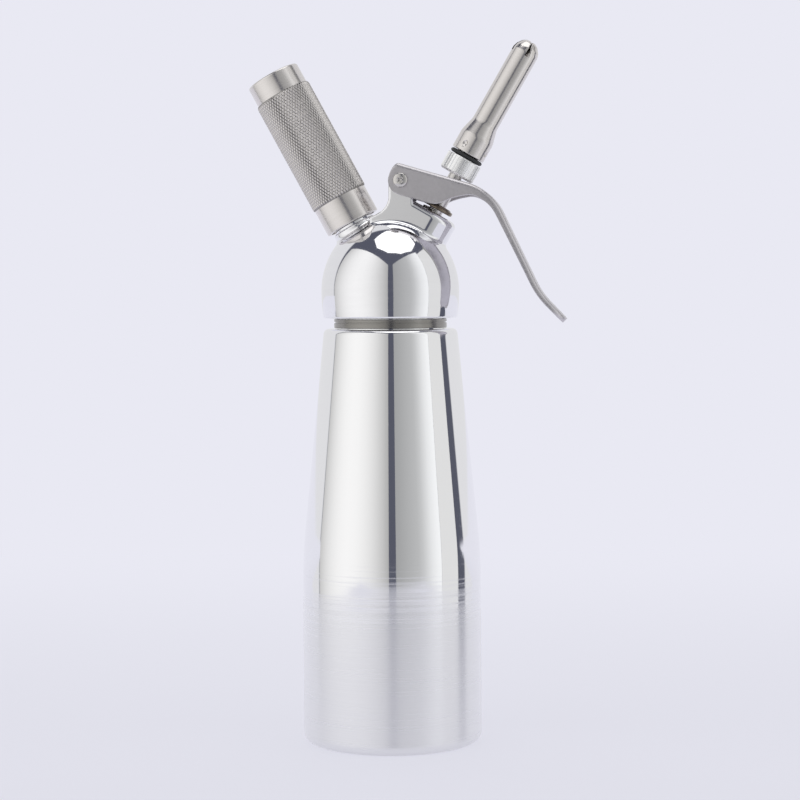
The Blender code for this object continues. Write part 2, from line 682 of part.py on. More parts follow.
def lever_stations():
    """Distances at which the lever's sections stand, close where its shape changes."""
    radius = LEVER_DEPTH / 2
    places = [LEVER_END_X - radius * math.cos(math.radians(angle))
              for angle in (14, 24, 36)]
    places += [LEVER_WEB_START, LEVER_WEB_START / 3]
    place = LEVER_END_X
    fine_end = LEVER_ARM + LEVER_STATION
    coarse_end = lever_length() - LEVER_TIP_ROUND
    while place < coarse_end:
        places.append(place)
        place += LEVER_STATION if place < fine_end else HANDLE_STATION
    places += [coarse_end + LEVER_TIP_ROUND * math.sin(math.radians(angle))
               for angle in (0, 25, 45, 62, 78, 90)]
    return places


def make_lever(mat, axis, valve_axis, pin_axis):
    """Pressed steel lever: a U-section lofted along arm, bend, handle and flared end."""
    bm = bmesh.new()
    loops = []
    for distance in lever_stations():
        loops.append([bm.verts.new(point) for point in lever_section(distance)])
    for near, far in zip(loops, loops[1:]):
        for index in range(len(near)):
            after = (index + 1) % len(near)
            bm.faces.new((near[index], near[after], far[after], far[index]))
    bm.faces.new(loops[0])
    bm.faces.new(loops[-1])
    lever = finish("lever", bm, mat, axis)
    reach = LEVER_DEPTH
    gap = extruded("cut_web_end", [(-reach, -reach), (LEVER_WEB_START, -reach),
                                   (LEVER_WEB_START, reach), (-reach, reach)],
                   LEVER_HALF - LEVER_SHEET, axis=axis)
    slot = make_slot(valve_axis)
    bore = cylinder("cut_lever_pivot", SLEEVE_R + CLEAR, -LEVER_HALF - OVERRUN,
                    LEVER_HALF + OVERRUN, pin_axis)
    combine(lever, [gap, slot, bore], "DIFFERENCE")
    return lever


def make_slot(axis):
    """Cutter for the slot in the web that lets the stem through, along the valve axis."""
    low = STEM_FLANGE_TOP - OVERRUN
    high = ADAPTER_Z + OVERRUN
    bm = bmesh.new()
    verts = []
    for centre, start in ((SLOT_FRONT - SLOT_HALF, -90), (SLOT_HALF - SLOT_BACK, 90)):
        for step in range(SLOT_STEPS + 1):
            angle = math.radians(start + 180 * step / SLOT_STEPS)
            verts.append(bm.verts.new((centre + SLOT_HALF * math.cos(angle),
                                       SLOT_HALF * math.sin(angle), low)))
    face = bm.faces.new(verts)
    grown = bmesh.ops.extrude_face_region(bm, geom=[face])
    moved = [item for item in grown["geom"] if isinstance(item, bmesh.types.BMVert)]
    bmesh.ops.translate(bm, verts=moved, vec=(0, 0, high - low))
    return finish("cut_stem_slot", bm, None, axis, smooth=False)


def crowned(flat_z, towards):
    """Outline of a low domed screw head, from its rim to the middle."""
    crown = SCREW_HEAD_T - SCREW_CROWN
    points = [(SCREW_HEAD_R, flat_z), (SCREW_HEAD_R, flat_z + towards * crown / 2)]
    for angle in (30, 60):
        points.append((SCREW_HEAD_R * math.cos(math.radians(angle)),
                       flat_z + towards * (crown + SCREW_CROWN * math.sin(math.radians(angle)))))
    return points + [(0, flat_z + towards * SCREW_HEAD_T)]


def make_pivot(mat, pin_axis):
    """Pivot screw from the front and the sleeve nut that it closes on."""
    floor = -PLATE_HALF
    shank_end = floor + CLEAR
    screw = [(0, shank_end), (SCREW_SHANK_R, shank_end), (SCREW_SHANK_R, LUG_FAR)]
    turned("pivot_screw", screw + crowned(LUG_FAR, 1), mat, pin_axis, closed=False)
    sleeve = [(0, floor), (SLEEVE_BORE_R, floor), (SLEEVE_BORE_R, LUG_FAR - CLEAR),
              (SLEEVE_R, LUG_FAR - CLEAR), (SLEEVE_R, -LUG_FAR)]
    turned("pivot_sleeve", sleeve + crowned(-LUG_FAR, -1), mat, pin_axis, closed=False)


# Adapter and nozzle

def make_adapter(mat, axis):
    """Adapter with straight grip ribs, a stud for the nozzle and a bore right through."""
    root = ADAPTER_R - ADAPTER_RIB_DEPTH
    end = ADAPTER_R - ADAPTER_CHAMFER
    levels = [(ADAPTER_Z, end, end), (ADAPTER_Z + ADAPTER_CHAMFER, ADAPTER_R, root),
              (ADAPTER_TOP - ADAPTER_RIB_DEPTH, ADAPTER_R, root), (ADAPTER_TOP, root, root)]
    bm = bmesh.new()
    loops = []
    for height, tip, valley in levels:
        loop = []
        for step in range(4 * ADAPTER_RIBS):
            radius = tip if step % 4 < 2 else valley
            angle = math.tau * step / (4 * ADAPTER_RIBS)
            loop.append(bm.verts.new((radius * math.cos(angle), radius * math.sin(angle),
                                      height)))
        loops.append(loop)
    for lower, upper in zip(loops, loops[1:]):
        for index in range(len(lower)):
            after = (index + 1) % len(lower)
            bm.faces.new((lower[index], lower[after], upper[after], upper[index]))
    bm.faces.new(loops[0])
    bm.faces.new(loops[-1])
    adapter = finish("nozzle_adapter", bm, mat, axis)
    stud = cylinder("tool_stud", STUD_R, ADAPTER_TOP - OVERRUN, STUD_TOP, axis,
                    fillet=ADAPTER_RIB_DEPTH)
    socket = cylinder("cut_adapter_socket", STEM_TOP_R + CLEAR, ADAPTER_Z - OVERRUN,
                      STEM_TOP + CLEAR, axis)
    flow = cylinder("cut_adapter_flow", STUD_BORE_R, STEM_TOP, STUD_TOP + OVERRUN, axis)
    combine(adapter, [stud], "UNION")
    combine(adapter, [socket, flow], "DIFFERENCE")
    return adapter


def make_nozzle(mat, axis):
    """Turned tube with a wide base and a slotted tip whose fingers bend inwards."""
    top = NOZZLE_Z + NOZZLE_L
    shoulder = NOZZLE_Z + NOZZLE_BASE_H
    bend = top - NOZZLE_BEND_DROP
    wall = NOZZLE_TUBE_R - NOZZLE_BORE_R
    socket = STUD_R + CLEAR
    nozzle = turned("nozzle", rounded([
        (NOZZLE_BASE_R - NOZZLE_CHAMFER, NOZZLE_Z), (NOZZLE_BASE_R, NOZZLE_Z + NOZZLE_CHAMFER),
        (NOZZLE_BASE_R, shoulder, NOZZLE_SHOULDER_FILLET),
        (NOZZLE_TUBE_R, shoulder + NOZZLE_SHOULDER_H, NOZZLE_SHOULDER_FILLET),
        (NOZZLE_TUBE_R, bend, NOZZLE_BEND_FILLET), (NOZZLE_NOSE_R, top - NOZZLE_NOSE_DROP),
        (NOZZLE_TIP_R, top), (NOZZLE_TIP_R - wall, top),
        (NOZZLE_NOSE_R - wall, top - NOZZLE_NOSE_DROP - wall),
        (NOZZLE_BORE_R, bend),
        (NOZZLE_BORE_R, STUD_TOP + wall), (socket, STUD_TOP + CLEAR), (socket, NOZZLE_Z)],
        True), mat, axis, segments=SEGMENTS_MEDIUM)
    slots = []
    for index in range(TIP_SLOTS):
        bm = bmesh.new()
        far = []
        for depth in (NOZZLE_TIP_R - wall) / 2, NOZZLE_TUBE_R + OVERRUN:
            for across, height in ((-TIP_SLOT_W / 2, top - NOZZLE_TIP_H),
                                   (TIP_SLOT_W / 2, top - NOZZLE_TIP_H),
                                   (TIP_SLOT_TIP_W / 2, top + OVERRUN),
                                   (-TIP_SLOT_TIP_W / 2, top + OVERRUN)):
                far.append(bm.verts.new((across, -depth, height)))
        bm.faces.new(far[:4])
        bm.faces.new(far[4:])
        for corner in range(4):
            after = (corner + 1) % 4
            bm.faces.new((far[corner], far[after], far[after + 4], far[corner + 4]))
        turn = math.radians(TIP_SLOT_ANGLE) + math.tau * index / TIP_SLOTS
        bmesh.ops.rotate(bm, verts=bm.verts[:], cent=(0, 0, 0),
                         matrix=Matrix.Rotation(turn, 3, "Z"))
        slots.append(finish("cut_tip_slot_%d" % index, bm, None, axis, smooth=False))
    combine(nozzle, slots, "DIFFERENCE")
    return nozzle


# Charger side

def make_pin(mats, axis):
    """Piercing pin with its retainer, the charger's seal and the rubber check sleeve."""
    flange_top = PIN_Z + PIN_FLANGE_T
    point = flange_top + PIN_H
    head_top = CHECK_SLEEVE_Z - CLEAR
    head_r = GAS_BORE_R - CLEAR
    turned("piercing_pin", [
        (0, point), (PIN_POINT_R, point), (PIN_R, point - PIN_POINT_H), (PIN_R, flange_top),
        (PIN_FLANGE_R, flange_top), (PIN_FLANGE_R, PIN_Z), (PIN_TAIL_R, PIN_Z),
        (PIN_TAIL_R, head_top), (head_r, head_top), (head_r, head_top - CHECK_HEAD_T),
        (0, head_top - CHECK_HEAD_T)], mats["steel"], axis, closed=False)
    ring("pin_retainer", RETAINER_BORE_R, PIN_FLANGE_R, RETAINER_Z, RETAINER_Z + RETAINER_T,
         mats["brass"], axis)
    ring("charger_seal", RETAINER_BORE_R, PIN_FLANGE_R, CHARGER_SEAL_Z,
         CHARGER_SEAL_Z + CHARGER_SEAL_T, mats["rubber"], axis)
    sleeve_in = PIN_TAIL_R + CLEAR
    ring("check_valve_sleeve", sleeve_in, sleeve_in + CHECK_SLEEVE_WALL, CHECK_SLEEVE_Z,
         CHECK_SLEEVE_TOP, mats["rubber"], axis)


def make_charger(mat, axis):
    """Gas charger: thin neck, round shoulder, straight body and domed end."""
    hole = CHARGER_Z + CHARGER_HOLE_DEPTH
    body = CHARGER_Z + CHARGER_NECK_H + CHARGER_SHOULDER_H
    return turned("gas_charger", rounded([
        (0, CHARGER_TOP), (CHARGER_R, CHARGER_TOP, CHARGER_END_H), (CHARGER_R, body,
                                                                    CHARGER_NECK_R),
        (CHARGER_NECK_R, CHARGER_Z + CHARGER_NECK_H, HOLDER_STEP),
        (CHARGER_NECK_R, CHARGER_Z, HOLDER_STEP), (CHARGER_HOLE_R, CHARGER_Z),
        (CHARGER_HOLE_R, hole), (0, hole)]), mat, axis, closed=False)


def make_holder(mat, axis):
    """Screwed charger holder: smooth foot, wide grip, smooth cap and a stepped bore."""
    grip_low = HOLDER_Z + HOLDER_FOOT_H
    grip_high = HOLDER_TOP - HOLDER_CAP_H
    mouth = NIPPLE_R + CLEAR
    bore = CHARGER_R + CHARGER_PLAY
    thread_top = NIPPLE_TOP + CLEAR
    return turned("charger_holder", rounded([
        (0, HOLDER_TOP), (HOLDER_CAP_R, HOLDER_TOP, HOLDER_END_FILLET),
        (HOLDER_CAP_R, grip_high), (HOLDER_R - HOLDER_STEP, grip_high),
        (HOLDER_R, grip_high - HOLDER_STEP), (HOLDER_R, grip_low + HOLDER_STEP),
        (HOLDER_R - HOLDER_STEP, grip_low), (HOLDER_FOOT_R, grip_low),
        (HOLDER_FOOT_R, HOLDER_Z, HOLDER_STEP), (mouth, HOLDER_Z), (mouth, thread_top),
        (bore, thread_top), (bore, CHARGER_TOP + CLEAR), (0, CHARGER_TOP + CLEAR)]),
        mat, axis, closed=False, segments=SEGMENTS_MEDIUM)


def make_materials():
    """One material for each finish on the object."""
    return {
        "bottle": material("polished_aluminium", (0.86, 0.86, 0.88), 0.16, 1.0),
        "casting": material("polished_casting", (0.84, 0.84, 0.87), 0.10, 1.0),
        "steel": material("brushed_steel", (0.66, 0.64, 0.62), 0.30, 1.0),
        "lever": material("satin_steel", (0.60, 0.59, 0.60), 0.32, 1.0),
        "dark_steel": material("dark_steel", (0.28, 0.24, 0.20), 0.30, 1.0),
        "adapter": material("bright_aluminium", (0.90, 0.90, 0.91), 0.25, 1.0),
        "ring": material("ring_steel", (0.42, 0.41, 0.38), 0.28, 1.0),
        "charger": material("charger_steel", (0.62, 0.63, 0.65), 0.35, 1.0),
        "brass": material("brass", (0.74, 0.58, 0.30), 0.35, 1.0),
        "rubber": material("black_rubber", (0.02, 0.02, 0.022), 0.60, 0.0),
    }


def main():
    for obj in list(bpy.data.objects):
        bpy.data.objects.remove(obj, do_unlink=True)
    mats = make_materials()

    make_bottle(mats["bottle"])
    make_neck_ring(mats["ring"])

    gasket_axis = empty("gasket_axis", (0, 0, 0))
    ring("head_gasket", CAVITY_R, CUP_R - CLEAR, GASKET_Z, GASKET_Z + GASKET_T,
         mats["rubber"], gasket_axis, segments=SEGMENTS_LARGE)

    head_axis = empty("head_axis", (0, 0, 0), parent=gasket_axis)
    housing_axis = empty("housing_axis", (0, 0, DOME_Z), VALVE_TILT, head_axis)
    port_axis = empty("port_axis", (0, 0, DOME_Z), CHARGER_TILT, head_axis)
    pin_axis = empty("pivot_pin_axis", (PIVOT_X, 0, PIVOT_Z), parent=head_axis)
    pin_axis.rotation_euler = (math.radians(90), 0, 0)
    make_head(mats["casting"], head_axis, housing_axis, port_axis, pin_axis)
    make_pivot(mats["steel"], pin_axis)
    make_pin(mats, port_axis)

    valve_axis = empty("valve_axis", (0, 0, DOME_Z), VALVE_TILT, head_axis)
    make_valve(mats, valve_axis, housing_axis)
    make_adapter(mats["adapter"], valve_axis)

    lever_axis = empty("lever_axis", (PIVOT_X, 0, PIVOT_Z), LEVER_DROOP, head_axis)
    make_lever(mats["lever"], lever_axis, housing_axis, pin_axis)

    seal_axis = empty("nozzle_seal_axis", (0, 0, 0), parent=valve_axis)
    o_ring("nozzle_o_ring", STUD_R + CLEAR, O_RING_R, O_RING_Z, O_RING_Z + O_RING_T,
           mats["rubber"], seal_axis)
    nozzle_axis = empty("nozzle_axis", (0, 0, 0), parent=seal_axis)
    make_nozzle(mats["steel"], nozzle_axis)

    charger_axis = empty("charger_axis", (0, 0, DOME_Z), CHARGER_TILT, head_axis)
    make_charger(mats["charger"], charger_axis)
    holder_axis = empty("holder_axis", (0, 0, 0), parent=charger_axis)
    make_holder(mats["steel"], holder_axis)


main()
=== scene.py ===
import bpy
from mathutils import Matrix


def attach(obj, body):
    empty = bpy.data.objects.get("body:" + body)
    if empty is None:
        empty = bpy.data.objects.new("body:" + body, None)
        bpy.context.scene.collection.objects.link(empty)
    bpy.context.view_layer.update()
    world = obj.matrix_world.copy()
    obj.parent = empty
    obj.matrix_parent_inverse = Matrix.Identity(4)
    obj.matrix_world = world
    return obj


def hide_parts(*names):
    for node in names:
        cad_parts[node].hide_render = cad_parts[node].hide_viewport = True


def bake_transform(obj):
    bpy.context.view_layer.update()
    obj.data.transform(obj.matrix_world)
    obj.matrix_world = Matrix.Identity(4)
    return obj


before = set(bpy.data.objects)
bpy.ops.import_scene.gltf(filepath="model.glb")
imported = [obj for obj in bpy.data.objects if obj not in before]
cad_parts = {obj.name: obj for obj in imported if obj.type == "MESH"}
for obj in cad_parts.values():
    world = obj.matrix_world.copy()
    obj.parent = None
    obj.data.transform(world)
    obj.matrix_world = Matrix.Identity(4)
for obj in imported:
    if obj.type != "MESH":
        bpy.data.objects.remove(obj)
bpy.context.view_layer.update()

import math

import bmesh
import bpy
import numpy as np
from mathutils import Matrix, Vector

# Whipped cream dispenser dressed around its CAD frame. Lengths are metres, angles degrees.

# Resolution
SEGMENTS_LARGE = 192
SEGMENTS = 96
SEGMENTS_THREAD = 144
ARC_STEP = 4.0               # degrees between the points of a fillet
ARC_STEPS_MAX = 30
SHARP_ANGLE = 32.0
THREAD_ROWS = 10             # rows of points in one thread pitch
LEVER_STATION = 0.001        # distance between the lever's sections
RIB_STEPS = 12               # points round one rib of the adapter
SPRING_STEPS = 40            # sections in one turn of the spring
SPRING_SIDES = 12

# Sizes shared with the CAD frame
CLEAR = 0.0003
OVERRUN = 0.002
BOTTLE_R = 0.0395
BOTTLE_H = 0.1835
BOTTLE_WALL = 0.0018
BOTTLE_FLOOR = 0.0030
BOTTLE_BASE_FILLET = 0.0045
BOTTLE_STRAIGHT_H = 0.0835
BOTTLE_WAIST_FILLET = 0.217
BOTTLE_SHOULDER_R = 0.0294
BOTTLE_SHOULDER_FILLET = 0.0025
NECK_R = 0.0232
NECK_WALL = 0.0027
RIM_Z = 0.2037
RIM_FILLET = 0.0008
RING_R = 0.0249
RING_Z = 0.1838
RING_H = 0.0041
RING_GROOVE_DEPTH = 0.0005
RING_GROOVE_H = 0.0006
RING_GROOVE_Z = 0.0022
RING_CHAMFER = 0.0004
HEAD_Z = 0.1882
DOME_Z = 0.2000
DOME_R = 0.0304
DOME_RISE = 0.0326
DOME_DROP = 0.050
DOME_EDGE_FILLET = 0.0008
CUP_R = 0.0235
CUP_TOP = 0.2063
CAVITY_R = 0.0195
CAVITY_RISE = 0.0195
PIVOT_X = 0.0058
PIVOT_RISE = 0.0483
PIVOT_Z = DOME_Z + PIVOT_RISE
LUG_R = 0.0054
PLATE_HALF = 0.0110
PLATE_EDGE = 0.0009
VALVE_TILT = 30.0
HOUSING_R = 0.0113
HOUSING_TOP = 0.0398
HOUSING_FILLET = 0.0028
HOUSING_FOOT = 0.0206
SPRING_BORE_R = 0.0076
SPRING_BORE_FLOOR = 0.0260
FLOW_BORE_R = 0.0046
CHARGER_TILT = -28.5
FLANGE_R = 0.0102
FLANGE_TOP = 0.0331
FLANGE_FOOT = 0.0235
FLANGE_FILLET = 0.0009
PORT_NECK_R = 0.00865
PORT_NECK_TOP = 0.0349
NIPPLE_R = 0.0103
NIPPLE_TOP = 0.0459
NIPPLE_CHAMFER = 0.0006
PORT_BORE_R = 0.0051
PORT_FLOOR = 0.0350
GAS_BORE_R = 0.0032
SLEEVE_R = 0.0024
SLEEVE_BORE_R = 0.0017
SCREW_SHANK_R = 0.0014
SCREW_HEAD_R = 0.0032
SCREW_HEAD_T = 0.0017
SCREW_CROWN = 0.0009
LEVER_DROOP = 16.4
LEVER_WEB_RISE = 0.0070
LEVER_SHEET = 0.0012
LEVER_HALF = 0.0128
LEVER_BEND_R = 0.0019
LEVER_DEPTH = 0.0133
LEVER_END_X = 0.0012
LEVER_WEB_START = -0.0028
LEVER_ARM = 0.0393
LEVER_CORNER_R = 0.024
LEVER_HANDLE = 0.0499
LEVER_HANDLE_TURN = 48.1
LEVER_FLARE = 0.0158
LEVER_FLARE_TURN = -18.5
LEVER_FLARE_R = 0.035
LEVER_TIP_ROUND = 0.0085
LEVER_TIP_HALF = 0.0066
LEVER_DEPTH_SHARES = ((0.10, 1.0), (0.24, 0.99), (0.34, 1.0), (0.41, 0.985), (0.46, 0.955),
                      (0.50, 0.89), (0.55, 0.76), (0.61, 0.62), (0.70, 0.47), (0.80, 0.35),
                      (0.90, 0.30), (1.10, 0.245), (1.45, 0.225), (2.10, 0.20), (2.75, 0.18))
SLOT_HALF = 0.0036
SLOT_BACK = 0.0062
SLOT_FRONT = 0.0044
STEM_R = 0.0033
STEM_TOP_R = 0.0030
STEM_FLANGE_R = 0.0046
STEM_FLANGE_T = 0.0030
STEM_TAIL_R = 0.0022
STEM_BORE_R = 0.0014
STEM_IN_ADAPTER = 0.0060
STEM_CHAMFER = 0.0004
STEM_TAIL = 0.0143
SEAT_RISE = 0.0206
CROSS_HOLE_R = 0.0010
CROSS_HOLE_Z = 0.0234
CAP_R = 0.0072
CAP_Z = 0.0414
CAP_T = 0.0023
SPRING_FOOT = 0.0342
SPRING_WIRE_R = 0.00045
SPRING_MEAN_R = 0.0056
SPRING_TURNS = 2.75
ADAPTER_R = 0.0081
ADAPTER_H = 0.0081
ADAPTER_RIBS = 30
ADAPTER_RIB_DEPTH = 0.0004
ADAPTER_CHAMFER = 0.0009
STUD_R = 0.0052
STUD_H = 0.0070
STUD_BORE_R = 0.0025
O_RING_R = 0.0076
O_RING_T = 0.0018
NOZZLE_BASE_R = 0.0077
NOZZLE_BASE_H = 0.0084
NOZZLE_TUBE_R = 0.00595
NOZZLE_SHOULDER_H = 0.0068
NOZZLE_SHOULDER_FILLET = 0.0060
NOZZLE_L = 0.0559
NOZZLE_TIP_H = 0.0067
NOZZLE_BEND_DROP = 0.0050
NOZZLE_BEND_FILLET = 0.0030
NOZZLE_BROW_R = 0.0053
NOZZLE_BROW_DROP = 0.0030
NOZZLE_NOSE_R = 0.0036
NOZZLE_NOSE_DROP = 0.0008
NOZZLE_TIP_R = 0.0022
NOZZLE_BORE_R = 0.0045
NOZZLE_CHAMFER = 0.0004
TIP_SLOTS = 4
TIP_SLOT_W = 0.0023
TIP_SLOT_TIP_W = 0.0007
TIP_SLOT_ANGLE = 17.0
CHARGER_R = 0.0090
CHARGER_TOP = 0.1060
CHARGER_PLAY = 0.0004
HOLDER_R = 0.0129
HOLDER_Z = 0.0342
HOLDER_FOOT_R = 0.01235
HOLDER_FOOT_H = 0.0122
HOLDER_CAP_R = 0.01205
HOLDER_CAP_H = 0.0093
HOLDER_END_T = 0.0018
HOLDER_STEP = 0.0005
HOLDER_END_FILLET = 0.0009

# Detail that only this file makes
HEAD_GRID = 0.0006           # cell of the grid that the head's surface is found on
BLOCK_BLEND = 0.0012         # fillet between the dome and what stands on it
FOOT_BLEND = 0.004           # fillet between bracket and foot, seen from the side
FOOT_RISE = 0.0366
FOOT_REACH = 0.0084
FOOT_DROP = 0.0044
BLOCK_BACK = 0.0130          # how far the housing's flat sides run back to the bracket
BORE_EDGE = 0.0004
NECK_THREAD = (0.0040, 0.0008, 0.1890, 0.2028)      # pitch, depth, from, to
NIPPLE_THREAD = (0.0020, 0.0006, 0.0352, 0.0455)
STUD_THREAD = (0.0010, 0.0004, 0.0002, 0.0066)      # from and to are above the adapter
KNURL_ROUND = 58
KNURL_PITCH = 0.00242
KNURL_DEPTH = 0.00036
KNURL_TOP_SHARE = 0.80       # where the points are cut flat
KNURL_STEPS = 6
DIMPLES = (-22.0, 68.0, 158.0, 248.0)
DIMPLE_Z = 0.0727
DIMPLE_R = 0.0014
DIMPLE_DEPTH = 0.0006
CROSS_HALF = 0.0015
CROSS_WIDTH = 0.0010
CROSS_DEPTH = 0.0013
CROSS_MOUTH_SHARE = 1.15     # of the recess's half length, a little above the head
CROSS_FLOOR_SHARE = 0.55
CROSS_TURN = 45.0
FAR_SLOT_TURN = 10.0
THREAD_FULLNESS = 0.7        # under 1 makes a thread's grooves wider than its crests
RIB_SHARPNESS = 1.1
DEPTH_EASE = 0.0016          # length over which the lever's depths are evened out


def web_crossing(rise, offset):
    """Height on the valve axis where a plane of the lever's web passes over a point
    offset to the front of the axis."""
    slope = math.radians(LEVER_DROOP)
    tilt = math.radians(VALVE_TILT)
    reach = rise + PIVOT_X * math.sin(slope) + PIVOT_RISE * math.cos(slope)
    return reach / math.cos(tilt - slope) + offset * math.tan(tilt - slope)


FLANGE_HIDDEN = math.sqrt(STEM_FLANGE_R ** 2 - SLOT_HALF ** 2)
STEM_FLANGE_TOP = web_crossing(LEVER_WEB_RISE - LEVER_SHEET, -FLANGE_HIDDEN) - CLEAR
ADAPTER_Z = web_crossing(LEVER_WEB_RISE, ADAPTER_R - ADAPTER_CHAMFER) + CLEAR
STEM_TOP = ADAPTER_Z + STEM_IN_ADAPTER
ADAPTER_TOP = ADAPTER_Z + ADAPTER_H
STUD_TOP = ADAPTER_TOP + STUD_H
O_RING_Z = ADAPTER_TOP + CLEAR
NOZZLE_Z = O_RING_Z + O_RING_T + CLEAR
SPRING_HEAD = CAP_Z - CLEAR
HOLDER_TOP = CHARGER_TOP + CLEAR + HOLDER_END_T
LUG_FAR = LEVER_HALF + CLEAR

VALVE_FRAME = Matrix.Translation((0, 0, DOME_Z)) @ Matrix.Rotation(math.radians(VALVE_TILT), 4, "Y")
PORT_FRAME = Matrix.Translation((0, 0, DOME_Z)) @ Matrix.Rotation(math.radians(CHARGER_TILT), 4, "Y")
PIN_FRAME = Matrix.Translation((PIVOT_X, 0, PIVOT_Z)) @ Matrix.Rotation(math.radians(90), 4, "X")
LEVER_FRAME = (Matrix.Translation((PIVOT_X, 0, PIVOT_Z))
               @ Matrix.Rotation(math.radians(LEVER_DROOP), 4, "Y"))


# Shapes

def rounded(corners, closed=False):
    """Points of an outline whose corners may carry a fillet radius as a third value."""
    points = []
    count = len(corners)
    for index, corner in enumerate(corners):
        here = Vector(corner[:2])
        radius = corner[2] if len(corner) > 2 else 0
        if radius <= 0 or (not closed and index in (0, count - 1)):
            points.append(here)
            continue
        before = (Vector(corners[index - 1][:2]) - here).normalized()
        after = (Vector(corners[(index + 1) % count][:2]) - here).normalized()
        half = before.angle(after) / 2
        centre = here + (before + after).normalized() * (radius / math.sin(half))
        start = here + before * (radius / math.tan(half)) - centre
        sweep = start.angle_signed(here + after * (radius / math.tan(half)) - centre)
        steps = max(3, min(ARC_STEPS_MAX, math.ceil(abs(math.degrees(sweep)) / ARC_STEP)))
        if radius > BOTTLE_R:
            steps = ARC_STEPS_MAX
        for step in range(steps + 1):
            points.append(centre + Matrix.Rotation(-sweep * step / steps, 2) @ start)
    return points


def finish(name, mesh, place=None, sharp=SHARP_ANGLE, weighted=True):
    """A shaded object from a mesh, put in its axis frame."""
    mesh.shade_smooth()
    mesh.set_sharp_from_angle(angle=math.radians(sharp))
    obj = bpy.data.objects.new(name, mesh)
    bpy.context.collection.objects.link(obj)
    if place:
        obj.matrix_world = place
    if weighted:
        modifier = obj.modifiers.new("normals", "WEIGHTED_NORMAL")
        modifier.keep_sharp = True
    return obj


def mesh_from(name, verts, faces):
    """A mesh whose faces all look outwards."""
    bm = bmesh.new()
    made = [bm.verts.new(vert) for vert in verts]
    for face in faces:
        bm.faces.new([made[index] for index in face])
    bmesh.ops.recalc_face_normals(bm, faces=bm.faces[:])
    mesh = bpy.data.meshes.new(name)
    bm.to_mesh(mesh)
    bm.free()
    return mesh


def turned(name, outline, place=None, closed=False, segments=SEGMENTS, shape=None, split=False):
    """Spin an outline of radius and height about the local Z axis. shape may change the
    radius at a height and angle, and split cuts each face along its crease."""
    verts = []
    rings = []
    angles = np.arange(segments) * math.tau / segments
    for radius, height in outline:
        if radius < 1e-7:
            rings.append([len(verts)])
            verts.append((0, 0, height))
            continue
        radii = np.full(segments, radius)
        if shape:
            radii = shape(radii, height, angles)
        rings.append(list(range(len(verts), len(verts) + segments)))
        verts += zip(radii * np.cos(angles), radii * np.sin(angles), [height] * segments)
    pairs = list(zip(range(len(rings)), range(1, len(rings))))
    if closed:
        pairs.append((len(rings) - 1, 0))
    faces = []
    for upper, lower in pairs:
        for step in range(segments):
            after = (step + 1) % segments
            top = [rings[upper][step % len(rings[upper])], rings[upper][after % len(rings[upper])]]
            low = [rings[lower][after % len(rings[lower])], rings[lower][step % len(rings[lower])]]
            corners = list(dict.fromkeys(top + low))
            if split and len(corners) == 4:
                radii = [math.hypot(*verts[corner][:2]) for corner in corners]
                if abs(radii[0] - radii[2]) > abs(radii[1] - radii[3]):
                    faces += [(corners[0], corners[1], corners[3]),
                              (corners[1], corners[2], corners[3])]
                else:
                    faces += [(corners[0], corners[1], corners[2]),
                              (corners[0], corners[2], corners[3])]
            elif len(corners) > 2:
                faces.append(corners)
    return finish(name, mesh_from(name, verts, faces), place)


def rows(radius, high, low, step):
    """Points down a straight side, close enough together for a thread or knurl."""
    count = max(2, round((high - low) / step))
    return [(radius, high + (low - high) * index / count) for index in range(count + 1)]


def thread(crest, pitch, depth, low, high):
    """Shape of a right-handed round thread cut into a side of radius crest."""
    def shape(radii, height, angles):
        if not low < height < high or abs(radii[0] - crest) > 1e-6:
            return radii
        phase = (height - low) / pitch - angles / math.tau
        fade = min((height - low) / pitch, (high - height) / pitch, 1)
        return radii - depth * fade * (0.5 - 0.5 * np.cos(math.tau * phase)) ** THREAD_FULLNESS
    return shape


def cut(obj, tools, sharp=SHARP_ANGLE):
    """Cut closed tools out of an object, and remove the tools."""
    weighted = obj.modifiers.get("normals")
    if weighted:
        obj.modifiers.remove(weighted)
    for tool in tools:
        modifier = obj.modifiers.new(tool.name, "BOOLEAN")
        modifier.operation = "DIFFERENCE"
        modifier.solver = "EXACT"
        modifier.object = tool
    bpy.context.view_layer.update()
    solved = obj.evaluated_get(bpy.context.evaluated_depsgraph_get())
    mesh = bpy.data.meshes.new_from_object(solved)
    obj.modifiers.clear()
    obj.data = mesh
    for tool in tools:
        bpy.data.objects.remove(tool, do_unlink=True)
    mesh.shade_smooth()
    mesh.set_sharp_from_angle(angle=math.radians(sharp))
    modifier = obj.modifiers.new("normals", "WEIGHTED_NORMAL")
    modifier.keep_sharp = True
    return obj


def bar(name, radius, low, high, place, segments=SEGMENTS):
    """A plain round cutter along the local Z axis."""
    return turned(name, [(0, high), (radius, high), (radius, low), (0, low)], place,
                  segments=segments)


def prism(name, lower, upper, place):
    """A cutter between two outlines of as many points."""
    count = len(lower)
    faces = [tuple(range(count)), tuple(range(count, 2 * count))]
    faces += [(step, (step + 1) % count, count + (step + 1) % count, count + step)
              for step in range(count)]
    return finish(name, mesh_from(name, list(lower) + list(upper), faces), place)


# The head's casting as a field of distances, measured from the dome's centre

VALVE_WAY = np.array([math.sin(math.radians(VALVE_TILT)), 0, math.cos(math.radians(VALVE_TILT))])
PORT_WAY = np.array([math.sin(math.radians(CHARGER_TILT)), 0,
                     math.cos(math.radians(CHARGER_TILT))])


def fillet_union(a, b, radius):
    """Two solids joined with a round fillet between them."""
    near = np.hypot(np.maximum(radius - a, 0), np.maximum(radius - b, 0))
    return np.maximum(radius, np.minimum(a, b)) - near


def round_common(a, b, radius):
    """What two solids share, with a rounded edge."""
    over = np.hypot(np.maximum(radius + a, 0), np.maximum(radius + b, 0))
    return np.minimum(-radius, np.maximum(a, b)) + over


